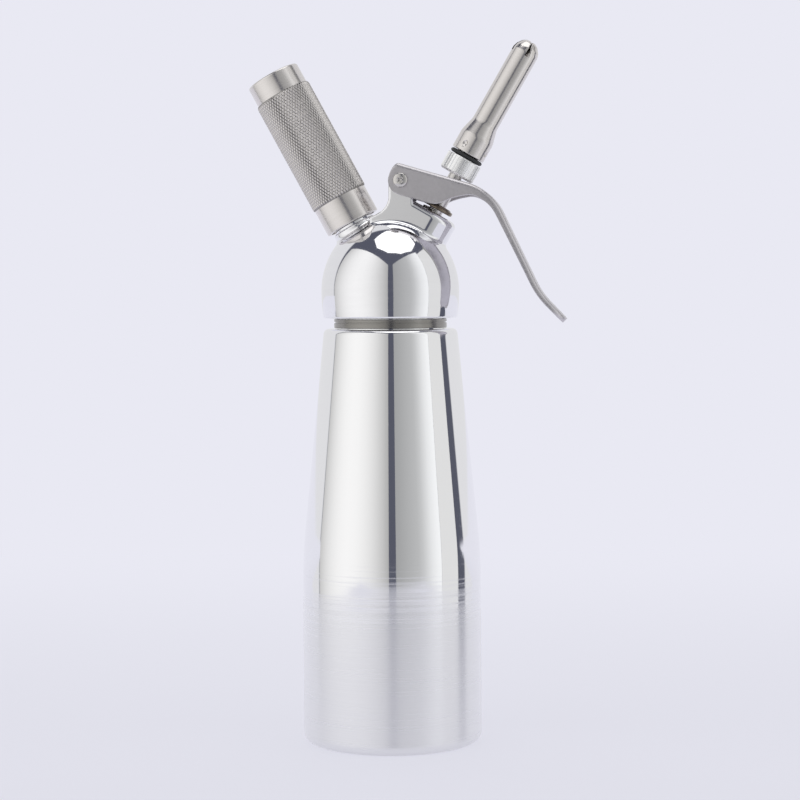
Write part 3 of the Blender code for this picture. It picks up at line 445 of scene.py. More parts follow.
def bar_field(points, axis, radius, low, high, edge=0.0):
    """Distance to a round bar along an axis through the dome's centre."""
    along = points @ axis
    across = np.linalg.norm(points - along[..., None] * axis, axis=-1)
    side = across - radius
    end = np.abs(along - (low + high) / 2) - (high - low) / 2
    return round_common(side, end, edge)


def dome_field(points):
    """Distance to the dome, whose upper and lower halves differ in height."""
    half = np.where(points[..., 2] > 0, DOME_RISE, DOME_DROP)
    across = np.hypot(points[..., 0], points[..., 1])
    near = np.hypot(across / DOME_R, points[..., 2] / half)
    slope = np.hypot(across / DOME_R ** 2, points[..., 2] / half ** 2)
    return near * (near - 1) / np.maximum(slope, 1e-6)


def plate_field(points):
    """Distance to the bracket: an upright plate with a round lug and a sloping foot."""
    x, z = points[..., 0], points[..., 2]
    lug = np.hypot(x - PIVOT_X, np.maximum(z - PIVOT_RISE, 0)) - LUG_R
    left = PIVOT_X - LUG_R
    length = math.hypot(FOOT_REACH, FOOT_DROP)
    slope = ((z - FOOT_RISE) * FOOT_REACH - (x - left) * FOOT_DROP) / length
    foot = np.maximum(slope, np.maximum(left - FOOT_REACH - x, x - PIVOT_X))
    side = fillet_union(lug, foot, FOOT_BLEND)
    return round_common(side, np.abs(points[..., 1]) - PLATE_HALF, PLATE_EDGE)


def housing_field(points):
    """Distance to the valve housing: round in front, with flat sides back to the bracket."""
    across = np.array([VALVE_WAY[2], 0, -VALVE_WAY[0]])
    along = points @ VALVE_WAY
    reach = points @ across
    side = np.hypot(np.maximum(reach, 0), points[..., 1] * HOUSING_R / PLATE_HALF) - HOUSING_R
    side = np.maximum(side, -reach - BLOCK_BACK)
    end = np.maximum(along - HOUSING_TOP, HOUSING_FOOT - along)
    return round_common(side, end, HOUSING_FILLET)


def cavity_field(points):
    """Distance to the cup for the neck and the hollow above it."""
    top = CUP_TOP - DOME_Z
    across = np.hypot(points[..., 0], points[..., 1])
    cup = np.maximum(across - CUP_R, points[..., 2] - top)
    height = np.maximum(points[..., 2] - top, 0)
    roof = np.hypot(across / CAVITY_R, height / CAVITY_RISE)
    return np.minimum(cup, (roof - 1) * CAVITY_R)


def head_field(points):
    """Distance to the whole casting."""
    dome = dome_field(points)
    plate = plate_field(points)
    flange = bar_field(points, PORT_WAY, FLANGE_R, FLANGE_FOOT, FLANGE_TOP, FLANGE_FILLET)
    block = np.minimum(plate, housing_field(points))
    block = np.minimum(block, flange)
    solid = fillet_union(dome, block, BLOCK_BLEND)
    solid = round_common(solid, HEAD_Z - DOME_Z - points[..., 2], DOME_EDGE_FILLET)
    solid = np.maximum(solid, -cavity_field(points))
    spring_bore = bar_field(points, VALVE_WAY, SPRING_BORE_R, SPRING_BORE_FLOOR,
                            HOUSING_TOP + OVERRUN)
    flow_bore = bar_field(points, VALVE_WAY, FLOW_BORE_R, 0, HOUSING_TOP)
    gas_bore = bar_field(points, PORT_WAY, GAS_BORE_R, 0, FLANGE_TOP + OVERRUN)
    pivot = np.hypot(points[..., 0] - PIVOT_X, points[..., 2] - PIVOT_RISE) - SLEEVE_R - CLEAR
    solid = round_common(solid, -spring_bore, BORE_EDGE)
    solid = np.maximum(solid, -flow_bore)
    solid = np.maximum(solid, -gas_bore)
    return round_common(solid, -pivot, BORE_EDGE)


def slopes(field, points):
    """Gradient of a field."""
    step = 2e-6
    return np.stack([(field(points + offset) - field(points - offset)) / (2 * step)
                     for offset in np.eye(3) * step], axis=-1)


def surface(name, field, low, high, step):
    """Closed mesh of the surface where a field is zero, with the field's own normals."""
    low = np.array(low)
    counts = np.ceil((np.array(high) - low) / step).astype(int) + 1
    sides = [low[axis] + step * np.arange(counts[axis]) for axis in range(3)]
    values = field(np.stack(np.meshgrid(*sides, indexing="ij"), axis=-1))
    inside = values < 0
    corners = [(a, b, c) for a in (0, 1) for b in (0, 1) for c in (0, 1)]
    total = sum(inside[a:counts[0] - 1 + a, b:counts[1] - 1 + b, c:counts[2] - 1 + c].astype(int)
                for a, b, c in corners)
    cells = np.argwhere((total > 0) & (total < 8))
    index = np.full(counts - 1, -1)
    index[tuple(cells.T)] = np.arange(len(cells))
    summed = np.zeros((len(cells), 3))
    hits = np.zeros(len(cells))
    for first in corners:
        for axis in range(3):
            if first[axis]:
                continue
            second = list(first)
            second[axis] = 1
            near = values[tuple((cells + first).T)]
            far = values[tuple((cells + second).T)]
            crossing = (near < 0) != (far < 0)
            share = np.where(crossing, near / np.where(crossing, near - far, 1), 0)
            place = np.repeat(np.array([first], dtype=float), len(cells), axis=0)
            place[:, axis] = share
            summed += place * crossing[:, None]
            hits += crossing
    points = low + (cells + summed / hits[:, None]) * step
    for _ in range(4):
        slope = slopes(field, points)
        size = np.maximum((slope ** 2).sum(axis=-1, keepdims=True), 0.1)
        move = slope * (field(points)[:, None] / size)
        points -= np.clip(move, -step / 2, step / 2)
    faces = []
    for axis in range(3):
        ahead = np.take(inside, range(1, counts[axis]), axis=axis)
        behind = np.take(inside, range(counts[axis] - 1), axis=axis)
        first, second = [(axis + 1) % 3, (axis + 2) % 3]
        edges = np.argwhere(ahead != behind)
        keep = np.ones(len(edges), dtype=bool)
        for side in (first, second):
            keep &= (edges[:, side] > 0) & (edges[:, side] < counts[side] - 1)
        edges = edges[keep]
        quad = []
        for back_first, back_second in ((0, 0), (1, 0), (1, 1), (0, 1)):
            cell = edges.copy()
            cell[:, first] -= back_first
            cell[:, second] -= back_second
            quad.append(index[tuple(cell.T)])
        quad = np.stack(quad, axis=-1)
        entering = behind[tuple(edges.T)]
        faces.append(np.where(entering[:, None], quad, quad[:, ::-1]))
    mesh = bpy.data.meshes.new(name)
    mesh.from_pydata(points.tolist(), [], np.concatenate(faces).tolist())
    mesh.validate()
    mesh.shade_smooth()
    normals = slopes(field, points)
    normals /= np.maximum(np.linalg.norm(normals, axis=-1, keepdims=True), 1e-9)
    mesh.normals_split_custom_set_from_vertices(normals.tolist())
    obj = bpy.data.objects.new(name, mesh)
    bpy.context.collection.objects.link(obj)
    return obj


# Materials

def grow(tree, kind, values=None, **settings):
    """Add a node with its settings, and with values or links for its inputs."""
    made = tree.nodes.new(kind)
    for key, value in settings.items():
        setattr(made, key, value)
    for key, value in (values or {}).items():
        if isinstance(value, bpy.types.NodeSocket):
            tree.links.new(value, made.inputs[key])
        else:
            made.inputs[key].default_value = value
    return made


class Shader:
    """A Principled material and short ways to add nodes to it. kept says that the piece
    carries the coordinates of its own axis frame."""

    def __init__(self, name, colour, roughness, metallic=1.0, kept=True):
        self.kept = kept
        self.material = bpy.data.materials.new(name)
        self.material.use_nodes = True
        self.tree = self.material.node_tree
        self.principled = self.tree.nodes["Principled BSDF"]
        self.set("Base Color", (*colour, 1))
        self.set("Roughness", roughness)
        self.set("Metallic", metallic)
        self.material.diffuse_color = (*colour, 1)

    def set(self, socket, value):
        self.principled.inputs[socket].default_value = value

    def node(self, kind, values=None, **settings):
        return grow(self.tree, kind, values, **settings).outputs[0]

    def link(self, output, socket):
        self.tree.links.new(output, self.principled.inputs[socket])

    def attribute(self, name):
        return grow(self.tree, "ShaderNodeAttribute", attribute_name=name).outputs["Vector"]

    def place(self):
        """Coordinates in the piece's own axis frame, so that a pattern follows the piece."""
        if self.kept:
            return self.attribute("place")
        return grow(self.tree, "ShaderNodeTexCoord").outputs["Object"]

    def parts(self):
        """The three coordinates one by one."""
        return grow(self.tree, "ShaderNodeSeparateXYZ", {0: self.place()}).outputs

    def coords(self, scale):
        return self.node("ShaderNodeMapping", {"Vector": self.place(), "Scale": scale})

    def turned_lines(self, strength):
        """Stretch reflections across lines that run round the piece's axis."""
        self.set("Anisotropic", strength)
        self.set("Anisotropic Rotation", 0.25)
        way = self.node("ShaderNodeVectorTransform", {0: self.attribute("around")},
                        convert_from="OBJECT", convert_to="WORLD")
        self.link(way, "Tangent")

    def noise(self, scale, detail=2.0, roughness=0.5):
        return self.node("ShaderNodeTexNoise",
                         {"Vector": self.coords(scale), "Scale": 1.0, "Detail": detail,
                          "Roughness": roughness})

    def ramp(self, value, low, high, start=0.0, end=1.0):
        return self.node("ShaderNodeMapRange",
                         {"Value": value, "From Min": start, "From Max": end,
                          "To Min": low, "To Max": high}, interpolation_type="LINEAR")

    def smooth(self, value, start, end):
        return self.node("ShaderNodeMapRange", {"Value": value, "From Min": start,
                                                "From Max": end},
                         interpolation_type="SMOOTHSTEP")

    def math(self, operation, first, second):
        return self.node("ShaderNodeMath", {0: first, 1: second}, operation=operation)

    def mix(self, factor, first, second):
        return grow(self.tree, "ShaderNodeMix", {0: factor, 6: first, 7: second},
                    data_type="RGBA").outputs[2]

    def bump(self, height, strength, distance):
        self.link(self.node("ShaderNodeBump", {"Height": height, "Strength": strength,
                                               "Distance": distance}), "Normal")


# Grain of each finish, in waves per metre along the three coordinates
TURNED = (25, 25, 2400)
SATIN = (900, 900, 900)
PATCHES = (90, 90, 90)
BOTTLE_LINES = (14, 14, 2600)
BOTTLE_STREAKS = (9, 9, 900)
BOTTLE_WANDER = (14, 14, 30)
CAST_WAVES = (140, 140, 140)
CAST_SMEARS = (60, 60, 400)
RUBBER_SKIN = (1800, 1800, 1800)
BORDER_LOW = 0.056           # heights between which the bottle's brushed foot turns to polish
BORDER_HIGH = 0.080
BORDER_STREAK = 0.016        # how far streaks and slow waves move that border
BORDER_WANDER = 0.010


def shade(colour, factor):
    """A colour as four values, made lighter or darker."""
    return tuple(min(part * factor, 1.0) for part in colour) + (1.0,)


def worked_metal(name, colour, roughness, grain, spread=0.05, tint=0.05, anisotropic=0.0,
                 kept=True):
    """Metal with a grain: turned where the grain is fine along Z only, satin where it is
    equally fine every way."""
    shader = Shader(name, colour, roughness, kept=kept)
    tone = shader.node("ShaderNodeMix", {0: 0.4, 2: shader.noise(grain, 3.0),
                                         3: shader.noise(PATCHES, 3.0)})
    shader.link(shader.mix(shader.ramp(tone, 0, 1, 0.3, 0.7), shade(colour, 1 - tint),
                           shade(colour, 1 + tint)), "Base Color")
    shader.link(shader.ramp(tone, roughness - spread, roughness + spread, 0.3, 0.7), "Roughness")
    if anisotropic:
        shader.turned_lines(anisotropic)
    return shader


def knurled_metal():
    """The holder's turned steel, with painted shade darkening the grooves between the knurl's
    points.
    """
    shader = worked_metal("knurled_steel", HOLDER_COLOUR, 0.22, TURNED, anisotropic=0.4)
    x, y, z = shader.parts()
    square = shader.math("ADD", shader.math("MULTIPLY", x, x), shader.math("MULTIPLY", y, y))
    radius = shader.math("SQRT", square, 0.0)
    # painted shade: the colour darkens with depth into the knurl's grooves
    depth = shader.ramp(radius, 0.15, 1.0, HOLDER_R - KNURL_DEPTH, HOLDER_R - KNURL_DEPTH * 0.3)
    inside = shader.math("MULTIPLY",
                         shader.math("GREATER_THAN", z, HOLDER_Z + HOLDER_FOOT_H),
                         shader.math("LESS_THAN", z, HOLDER_TOP - HOLDER_CAP_H))
    unshaded_share = shader.node("ShaderNodeMix", {0: inside, 2: 1.0, 3: depth})
    base = shader.principled.inputs["Base Color"].links[0].from_socket
    # painted shade in the grooves, mixed into the steel's base colour
    shader.link(shader.mix(unshaded_share, shade(HOLDER_COLOUR, 0.35), base), "Base Color")
    return shader


def bottle_metal():
    """Mirror polished above, fine turned lines below, with a streaky border between."""
    colour = (0.92, 0.92, 0.925)
    shader = Shader("bottle_metal", colour, 0.05)
    streaks = shader.noise(BOTTLE_STREAKS, 3.0, 0.6)
    wander = shader.noise(BOTTLE_WANDER, 1.0)
    edge = shader.math("ADD", shader.parts()["Z"],
                       shader.ramp(streaks, -BORDER_STREAK, BORDER_STREAK, 0.25, 0.75))
    edge = shader.math("ADD", edge,
                       shader.ramp(wander, -BORDER_WANDER, BORDER_WANDER, 0.2, 0.8))
    polish = shader.smooth(edge, BORDER_LOW, BORDER_HIGH)
    lines = shader.noise(BOTTLE_LINES, 4.0, 0.6)
    brushed = shader.ramp(lines, 0.26, 0.36, 0.3, 0.7)
    mirror = shader.ramp(streaks, 0.035, 0.075, 0.3, 0.7)
    shader.link(shader.node("ShaderNodeMix", {0: polish, 2: brushed, 3: mirror}), "Roughness")
    tone = shader.mix(shader.ramp(lines, 0, 1, 0.3, 0.7), shade(colour, 0.95), shade(colour, 1.0))
    shader.link(shader.mix(polish, tone, shade(colour, 1.0)), "Base Color")
    shader.link(shader.node("ShaderNodeBump", {"Height": lines, "Distance": 0.00002,
                                               "Strength": shader.ramp(polish, 0.10, 0.01)}),
                "Normal")
    shader.turned_lines(0.9)
    return shader.material


def casting_metal():
    """Hand-polished casting: mirror bright with a faint waviness."""
    colour = (0.90, 0.90, 0.915)
    shader = Shader("casting_metal", colour, 0.045)
    waves = shader.noise(CAST_WAVES, 2.0)
    smears = shader.noise(CAST_SMEARS, 3.0)
    shader.link(shader.ramp(smears, 0.03, 0.08, 0.3, 0.7), "Roughness")
    shader.link(shader.mix(smears, shade(colour, 0.97), shade(colour, 1.02)), "Base Color")
    shader.bump(waves, 0.05, 0.0002)
    return shader.material


def rubber(name, kept=True):
    """Black rubber with a matt, slightly uneven skin."""
    colour = (0.018, 0.019, 0.021)
    shader = Shader(name, colour, 0.5, 0.0, kept)
    skin = shader.noise(RUBBER_SKIN, 4.0)
    shader.link(shader.ramp(skin, 0.42, 0.62, 0.3, 0.7), "Roughness")
    shader.link(shader.mix(skin, shade(colour, 0.8), shade(colour, 1.4)), "Base Color")
    shader.bump(skin, 0.2, 0.00003)
    return shader.material


HOLDER_COLOUR = (0.74, 0.71, 0.69)
NOZZLE_COLOUR = (0.72, 0.69, 0.67)
SCREW_COLOUR = (0.66, 0.64, 0.62)
# painted shade: the spring cap's dark colour stands in for the shade in the counterbore under the
# lever
CAP_SHADE_COLOUR = (0.22, 0.18, 0.14)
RING_COLOUR = (0.30, 0.29, 0.27)
MATERIALS = {
    "bottle": bottle_metal(),
    "casting": casting_metal(),
    "holder": knurled_metal().material,
    "nozzle": worked_metal("nozzle_steel", NOZZLE_COLOUR, 0.20, TURNED, anisotropic=0.4).material,
    "screw": worked_metal("screw_steel", SCREW_COLOUR, 0.20, SATIN).material,
    "lever": worked_metal("satin_steel", (0.62, 0.60, 0.62), 0.33, SATIN).material,
    "cap_shade": worked_metal("dark_steel", CAP_SHADE_COLOUR, 0.25, TURNED).material,
    "ring": worked_metal("ring_steel", RING_COLOUR, 0.24, TURNED, anisotropic=0.5).material,
    "adapter": worked_metal("bright_aluminium", (0.93, 0.93, 0.93), 0.30, TURNED).material,
    "rubber": rubber("black_rubber"),
    "inner_steel": worked_metal("inner_steel", SCREW_COLOUR, 0.25, SATIN, kept=False).material,
    "inner_rubber": rubber("inner_rubber", kept=False),
    "charger": worked_metal("charger_steel", (0.62, 0.63, 0.65), 0.35, SATIN,
                            kept=False).material,
    "brass": worked_metal("turned_brass", (0.74, 0.58, 0.30), 0.30, SATIN, kept=False).material,
}


def settle(obj):
    """Move a piece's place into its mesh, and keep there the coordinates of its axis frame
    and the way round its axis, for the materials."""
    mesh = obj.data
    place = obj.matrix_world.copy()
    points = np.empty(len(mesh.vertices) * 3, dtype=np.float32)
    mesh.vertices.foreach_get("co", points)
    points = points.reshape(-1, 3)
    around = np.stack([-points[:, 1], points[:, 0], np.zeros(len(points))], axis=-1)
    around /= np.maximum(np.linalg.norm(around, axis=-1, keepdims=True), 1e-7)
    around = around @ np.array(place.to_3x3()).T
    for name, values in (("place", points), ("around", around)):
        layer = mesh.attributes.new(name, "FLOAT_VECTOR", "POINT")
        layer.data.foreach_set("vector", values.astype(np.float32).ravel())
    mesh.transform(place)
    obj.matrix_world = Matrix.Identity(4)


def dress(obj, material, body, slot, *nodes):
    """Give a piece its material and body, and hide the CAD pieces of the nodes that it stands for.
    """
    settle(obj)
    obj.data.materials.clear()
    obj.data.materials.append(MATERIALS[material])
    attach(obj, body)
    if nodes:
        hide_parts(*nodes)
    return obj


# Bottle

def make_bottle():
    """Thin-walled bottle with a threaded neck, and the ring on the neck's root."""
    wall = BOTTLE_WALL
    outside = rounded([(0, 0), (BOTTLE_R, 0, BOTTLE_BASE_FILLET),
                       (BOTTLE_R, BOTTLE_STRAIGHT_H, BOTTLE_WAIST_FILLET),
                       (BOTTLE_SHOULDER_R, BOTTLE_H, BOTTLE_SHOULDER_FILLET),
                       (NECK_R, BOTTLE_H)])
    pitch, depth, low, high = NECK_THREAD
    neck = rows(NECK_R, low, high, pitch / THREAD_ROWS)
    inside = rounded([(NECK_R, RIM_Z - 2 * RIM_FILLET), (NECK_R, RIM_Z, RIM_FILLET),
                      (NECK_R - NECK_WALL, RIM_Z, RIM_FILLET),
                      (NECK_R - NECK_WALL, BOTTLE_H - wall),
                      (BOTTLE_SHOULDER_R - wall, BOTTLE_H - wall,
                       BOTTLE_SHOULDER_FILLET - wall / 2),
                      (BOTTLE_R - wall, BOTTLE_STRAIGHT_H, BOTTLE_WAIST_FILLET),
                      (BOTTLE_R - wall, BOTTLE_FLOOR, BOTTLE_BASE_FILLET - wall),
                      (0, BOTTLE_FLOOR)])
    shell = turned("bottle_shell", list(outside) + neck + inside[1:],
                   segments=SEGMENTS_LARGE, shape=thread(NECK_R, pitch, depth, low, high))
    dress(shell, "bottle", "bottle", "bottle_aluminium", "bottle")
    inner = NECK_R + CLEAR
    groove = RING_R - RING_GROOVE_DEPTH
    low = RING_Z + RING_GROOVE_Z
    collar = turned("neck_collar", rounded([
        (RING_R, RING_Z, RING_CHAMFER), (RING_R, low, RING_CHAMFER / 4), (groove, low),
        (groove, low + RING_GROOVE_H), (RING_R, low + RING_GROOVE_H, RING_CHAMFER / 4),
        (RING_R, RING_Z + RING_H, RING_CHAMFER), (inner, RING_Z + RING_H),
        (inner, RING_Z)], True), closed=True, segments=SEGMENTS_LARGE)
    dress(collar, "ring", "bottle", "ring_steel", "neck_ring")


# Head

def make_head():
    """Casting with its bracket, valve housing and flange, and the threaded charger port."""
    reach = DOME_R + 2 * HEAD_GRID
    low = (-reach, -reach, HEAD_Z - DOME_Z - 2 * HEAD_GRID)
    high = (reach, reach, PIVOT_RISE + LUG_R + 2 * HEAD_GRID)
    casting = surface("head_dome", head_field, low, high, HEAD_GRID)
    casting.matrix_world = Matrix.Translation((0, 0, DOME_Z))
    dress(casting, "casting", "head", "head_aluminium", "head_casting")
    pitch, depth, low, high = NIPPLE_THREAD
    foot = FLANGE_TOP - CLEAR
    outline = rounded([(GAS_BORE_R, PORT_FLOOR), (PORT_BORE_R, PORT_FLOOR),
                       (PORT_BORE_R, NIPPLE_TOP, NIPPLE_CHAMFER / 2),
                       (NIPPLE_R, NIPPLE_TOP, NIPPLE_CHAMFER), (NIPPLE_R, high)])
    outline += rows(NIPPLE_R, high, low, pitch / THREAD_ROWS)[1:]
    outline += [Vector((PORT_NECK_R, PORT_NECK_TOP)), Vector((PORT_NECK_R, foot)),
                Vector((GAS_BORE_R, foot))]
    nipple = turned("charger_port", outline, PORT_FRAME, closed=True, segments=SEGMENTS_THREAD,
                    shape=thread(NIPPLE_R, pitch, depth, low, high))
    dress(nipple, "casting", "head", "head_aluminium")


# Lever

def lever_path(distance):
    """Point and outward normal on the web's outer face, by distance from the pivot's foot."""
    turn = math.radians(LEVER_HANDLE_TURN)
    flare = math.radians(LEVER_HANDLE_TURN + LEVER_FLARE_TURN)
    bend = LEVER_CORNER_R * math.tan(turn / 2)
    rebend = LEVER_FLARE_R * math.tan(math.radians(-LEVER_FLARE_TURN) / 2)
    runs = [(LEVER_ARM - bend, 0), (LEVER_CORNER_R * turn, turn),
            (LEVER_HANDLE - bend - rebend, 0), (LEVER_FLARE_R * (turn - flare), flare - turn),
            (LEVER_FLARE - rebend, 0)]
    point = Vector((0, LEVER_WEB_RISE))
    heading = 0
    for index, (length, sweep) in enumerate(runs):
        last = index == len(runs) - 1
        step = distance if distance < length or last else length
        if sweep:
            radius = length / sweep
            end = heading + step / radius
            point += radius * Vector((math.sin(end) - math.sin(heading),
                                      math.cos(end) - math.cos(heading)))
            heading = end
        else:
            point += step * Vector((math.cos(heading), -math.sin(heading)))
        distance -= step
        if distance <= 0:
            break
    return point, Vector((math.sin(heading), math.cos(heading)))


def lever_length():
    """Length of the web's outer face from the pivot's foot to the tip."""
    turn = math.radians(LEVER_HANDLE_TURN)
    flare = math.radians(-LEVER_FLARE_TURN)
    saved = (LEVER_CORNER_R * (2 * math.tan(turn / 2) - turn)
             + LEVER_FLARE_R * (2 * math.tan(flare / 2) - flare))
    return LEVER_ARM + LEVER_HANDLE + LEVER_FLARE - saved


LEVER_LENGTH = lever_length()


def skirt_depth(distance):
    """Depth of the skirts below the web's face, eased between the table's shares."""
    along = [share * LEVER_ARM for share, _ in LEVER_DEPTH_SHARES]
    deep = [share * LEVER_DEPTH for _, share in LEVER_DEPTH_SHARES]
    return float(np.mean([np.interp(distance + shift, along, deep)
                          for shift in np.linspace(-DEPTH_EASE, DEPTH_EASE, 9)]))


def lever_section(distance):
    """One closed U-section of the lever, as points in the lever's own frame."""
    point, normal = lever_path(max(distance, 0))
    if distance < 0:
        point = point + Vector((distance, 0))
    depth = skirt_depth(distance)
    drop = 0
    radius = LEVER_DEPTH / 2
    if distance < LEVER_END_X:
        depth -= radius - math.sqrt(max(radius ** 2 - (LEVER_END_X - distance) ** 2, 0))
    if distance < LEVER_WEB_START:
        along = (LEVER_WEB_START - distance) / (LEVER_WEB_START - LEVER_END_X + radius)
        drop = radius - radius * math.sqrt(max(1 - along ** 2, 0))
    half = LEVER_HALF
    into_tip = (distance - LEVER_LENGTH + LEVER_TIP_ROUND) / LEVER_TIP_ROUND
    if into_tip > 0:
        narrow = 1 - math.sqrt(max(1 - into_tip ** 2, 0))
        half -= (LEVER_HALF - LEVER_TIP_HALF) * narrow
    bend = LEVER_BEND_R
    inner = bend - LEVER_SHEET
    edge = LEVER_SHEET / 4
    side = []
    for angle in range(90, -1, -15):
        side.append((half - bend + bend * math.cos(math.radians(angle)),
                     drop + bend - bend * math.sin(math.radians(angle))))
    side += [(half, depth - edge), (half - edge, depth), (half - LEVER_SHEET + edge, depth),
             (half - LEVER_SHEET, depth - edge)]
    for angle in range(0, 91, 30):
        side.append((half - bend + inner * math.cos(math.radians(angle)),
                     drop + bend - inner * math.sin(math.radians(angle))))
    loop = side + [(-across, down) for across, down in reversed(side)]
    return [Vector((point.x - normal.x * down, across, point.y - normal.y * down))
            for across, down in loop]


def lever_stations():
    """Distances at which the lever's sections stand, close where its shape changes."""
    radius = LEVER_DEPTH / 2
    places = [LEVER_END_X - radius * math.cos(math.radians(angle))
              for angle in range(10, 52, 4)]
    places += [LEVER_WEB_START + LEVER_STATION * step for step in range(4)]
    place = LEVER_END_X
    coarse_end = LEVER_LENGTH - LEVER_TIP_ROUND
    while place < coarse_end - LEVER_STATION / 2:
        places.append(place)
        place += LEVER_STATION
    places += [coarse_end + LEVER_TIP_ROUND * math.sin(math.radians(angle))
               for angle in range(0, 91, 6)]
    return places


def make_lever():
    """Pressed steel lever with its slot and pivot holes."""
    loops = [lever_section(distance) for distance in lever_stations()]
    size = len(loops[0])
    verts = [tuple(point) for loop in loops for point in loop]
    faces = [tuple(range(size)), tuple(range((len(loops) - 1) * size, len(loops) * size))]
    for row in range(len(loops) - 1):
        for index in range(size):
            after = (index + 1) % size
            faces.append((row * size + index, row * size + after,
                          (row + 1) * size + after, (row + 1) * size + index))
    lever = finish("lever_channel", mesh_from("lever_channel", verts, faces), LEVER_FRAME)
    reach = LEVER_DEPTH
    gap_half = LEVER_HALF - LEVER_SHEET
    corners = [(-reach, -reach), (LEVER_WEB_START, -reach), (LEVER_WEB_START, reach),
               (-reach, reach)]
    gap = prism("cut_web_end", [(x, -gap_half, z) for x, z in corners],
                [(x, gap_half, z) for x, z in corners], LEVER_FRAME)
    outline = []
    for centre, start in ((SLOT_FRONT - SLOT_HALF, -90), (SLOT_HALF - SLOT_BACK, 90)):
        for step in range(25):
            angle = math.radians(start + 180 * step / 24)
            outline.append((centre + SLOT_HALF * math.cos(angle), SLOT_HALF * math.sin(angle)))
    slot = prism("cut_slot", [(x, y, STEM_FLANGE_TOP - OVERRUN) for x, y in outline],
                 [(x, y, ADAPTER_Z + OVERRUN) for x, y in outline], VALVE_FRAME)
    bore = bar("cut_pivot", SLEEVE_R + CLEAR, -LEVER_HALF - OVERRUN, LEVER_HALF + OVERRUN,
               PIN_FRAME)
    cut(lever, [gap, slot, bore])
    dress(lever, "lever", "lever", "lever_steel", "lever")


def crowned(flat_z, towards):
    """Outline of a low domed screw head, from its rim to the middle."""
    crown = SCREW_HEAD_T - SCREW_CROWN
    edge = crown / 3
    points = [(SCREW_HEAD_R - edge, flat_z), (SCREW_HEAD_R, flat_z + towards * edge),
              (SCREW_HEAD_R, flat_z + towards * crown / 2)]
    for angle in range(15, 90, 15):
        points.append((SCREW_HEAD_R * math.cos(math.radians(angle)),
                       flat_z + towards * (crown + SCREW_CROWN * math.sin(math.radians(angle)))))
    return points + [(0, flat_z + towards * SCREW_HEAD_T)]


def cross_arm(name, turn, place, top, towards):
    """One tapered arm of a screw's recess."""
    rims = []
    for share, depth in ((CROSS_MOUTH_SHARE, -OVERRUN), (CROSS_FLOOR_SHARE, CROSS_DEPTH)):
        half = CROSS_HALF * share
        wide = CROSS_WIDTH / 2 * share
        corners = [Vector((across, wide * side, 0)) for across, side in
                   ((-half, -1), (half, -1), (half, 1), (-half, 1))]
        height = top - towards * depth
        rims.append([Matrix.Rotation(math.radians(turn), 3, "Z") @ corner
                     + Vector((0, 0, height)) for corner in corners])
    return prism(name, [tuple(point) for point in rims[0]],
                 [tuple(point) for point in rims[1]], place)


def make_pivot():
    """Cross-head screw from the front and the sleeve nut that it closes on."""
    shank_end = CLEAR - PLATE_HALF
    top = LUG_FAR + SCREW_HEAD_T
    screw = turned("pivot_cross_screw", [(0, shank_end), (SCREW_SHANK_R, shank_end),
                                         (SCREW_SHANK_R, LUG_FAR)] + crowned(LUG_FAR, 1),
                   PIN_FRAME)
    cut(screw, [cross_arm("cut_cross_%d" % turn, turn, PIN_FRAME, top, 1)
                for turn in (CROSS_TURN, CROSS_TURN + 90)])
    dress(screw, "screw", "head", "steel", "pivot_screw")
    sleeve = turned("pivot_sleeve_nut", [
        (0, -PLATE_HALF), (SLEEVE_BORE_R, -PLATE_HALF), (SLEEVE_BORE_R, LEVER_HALF),
        (SLEEVE_R, LEVER_HALF), (SLEEVE_R, -LUG_FAR)] + crowned(-LUG_FAR, -1), PIN_FRAME)
    cut(sleeve, [cross_arm("cut_far_slot", FAR_SLOT_TURN, PIN_FRAME, -top, -1)])
    dress(sleeve, "screw", "head", "steel", "pivot_sleeve")


# Valve

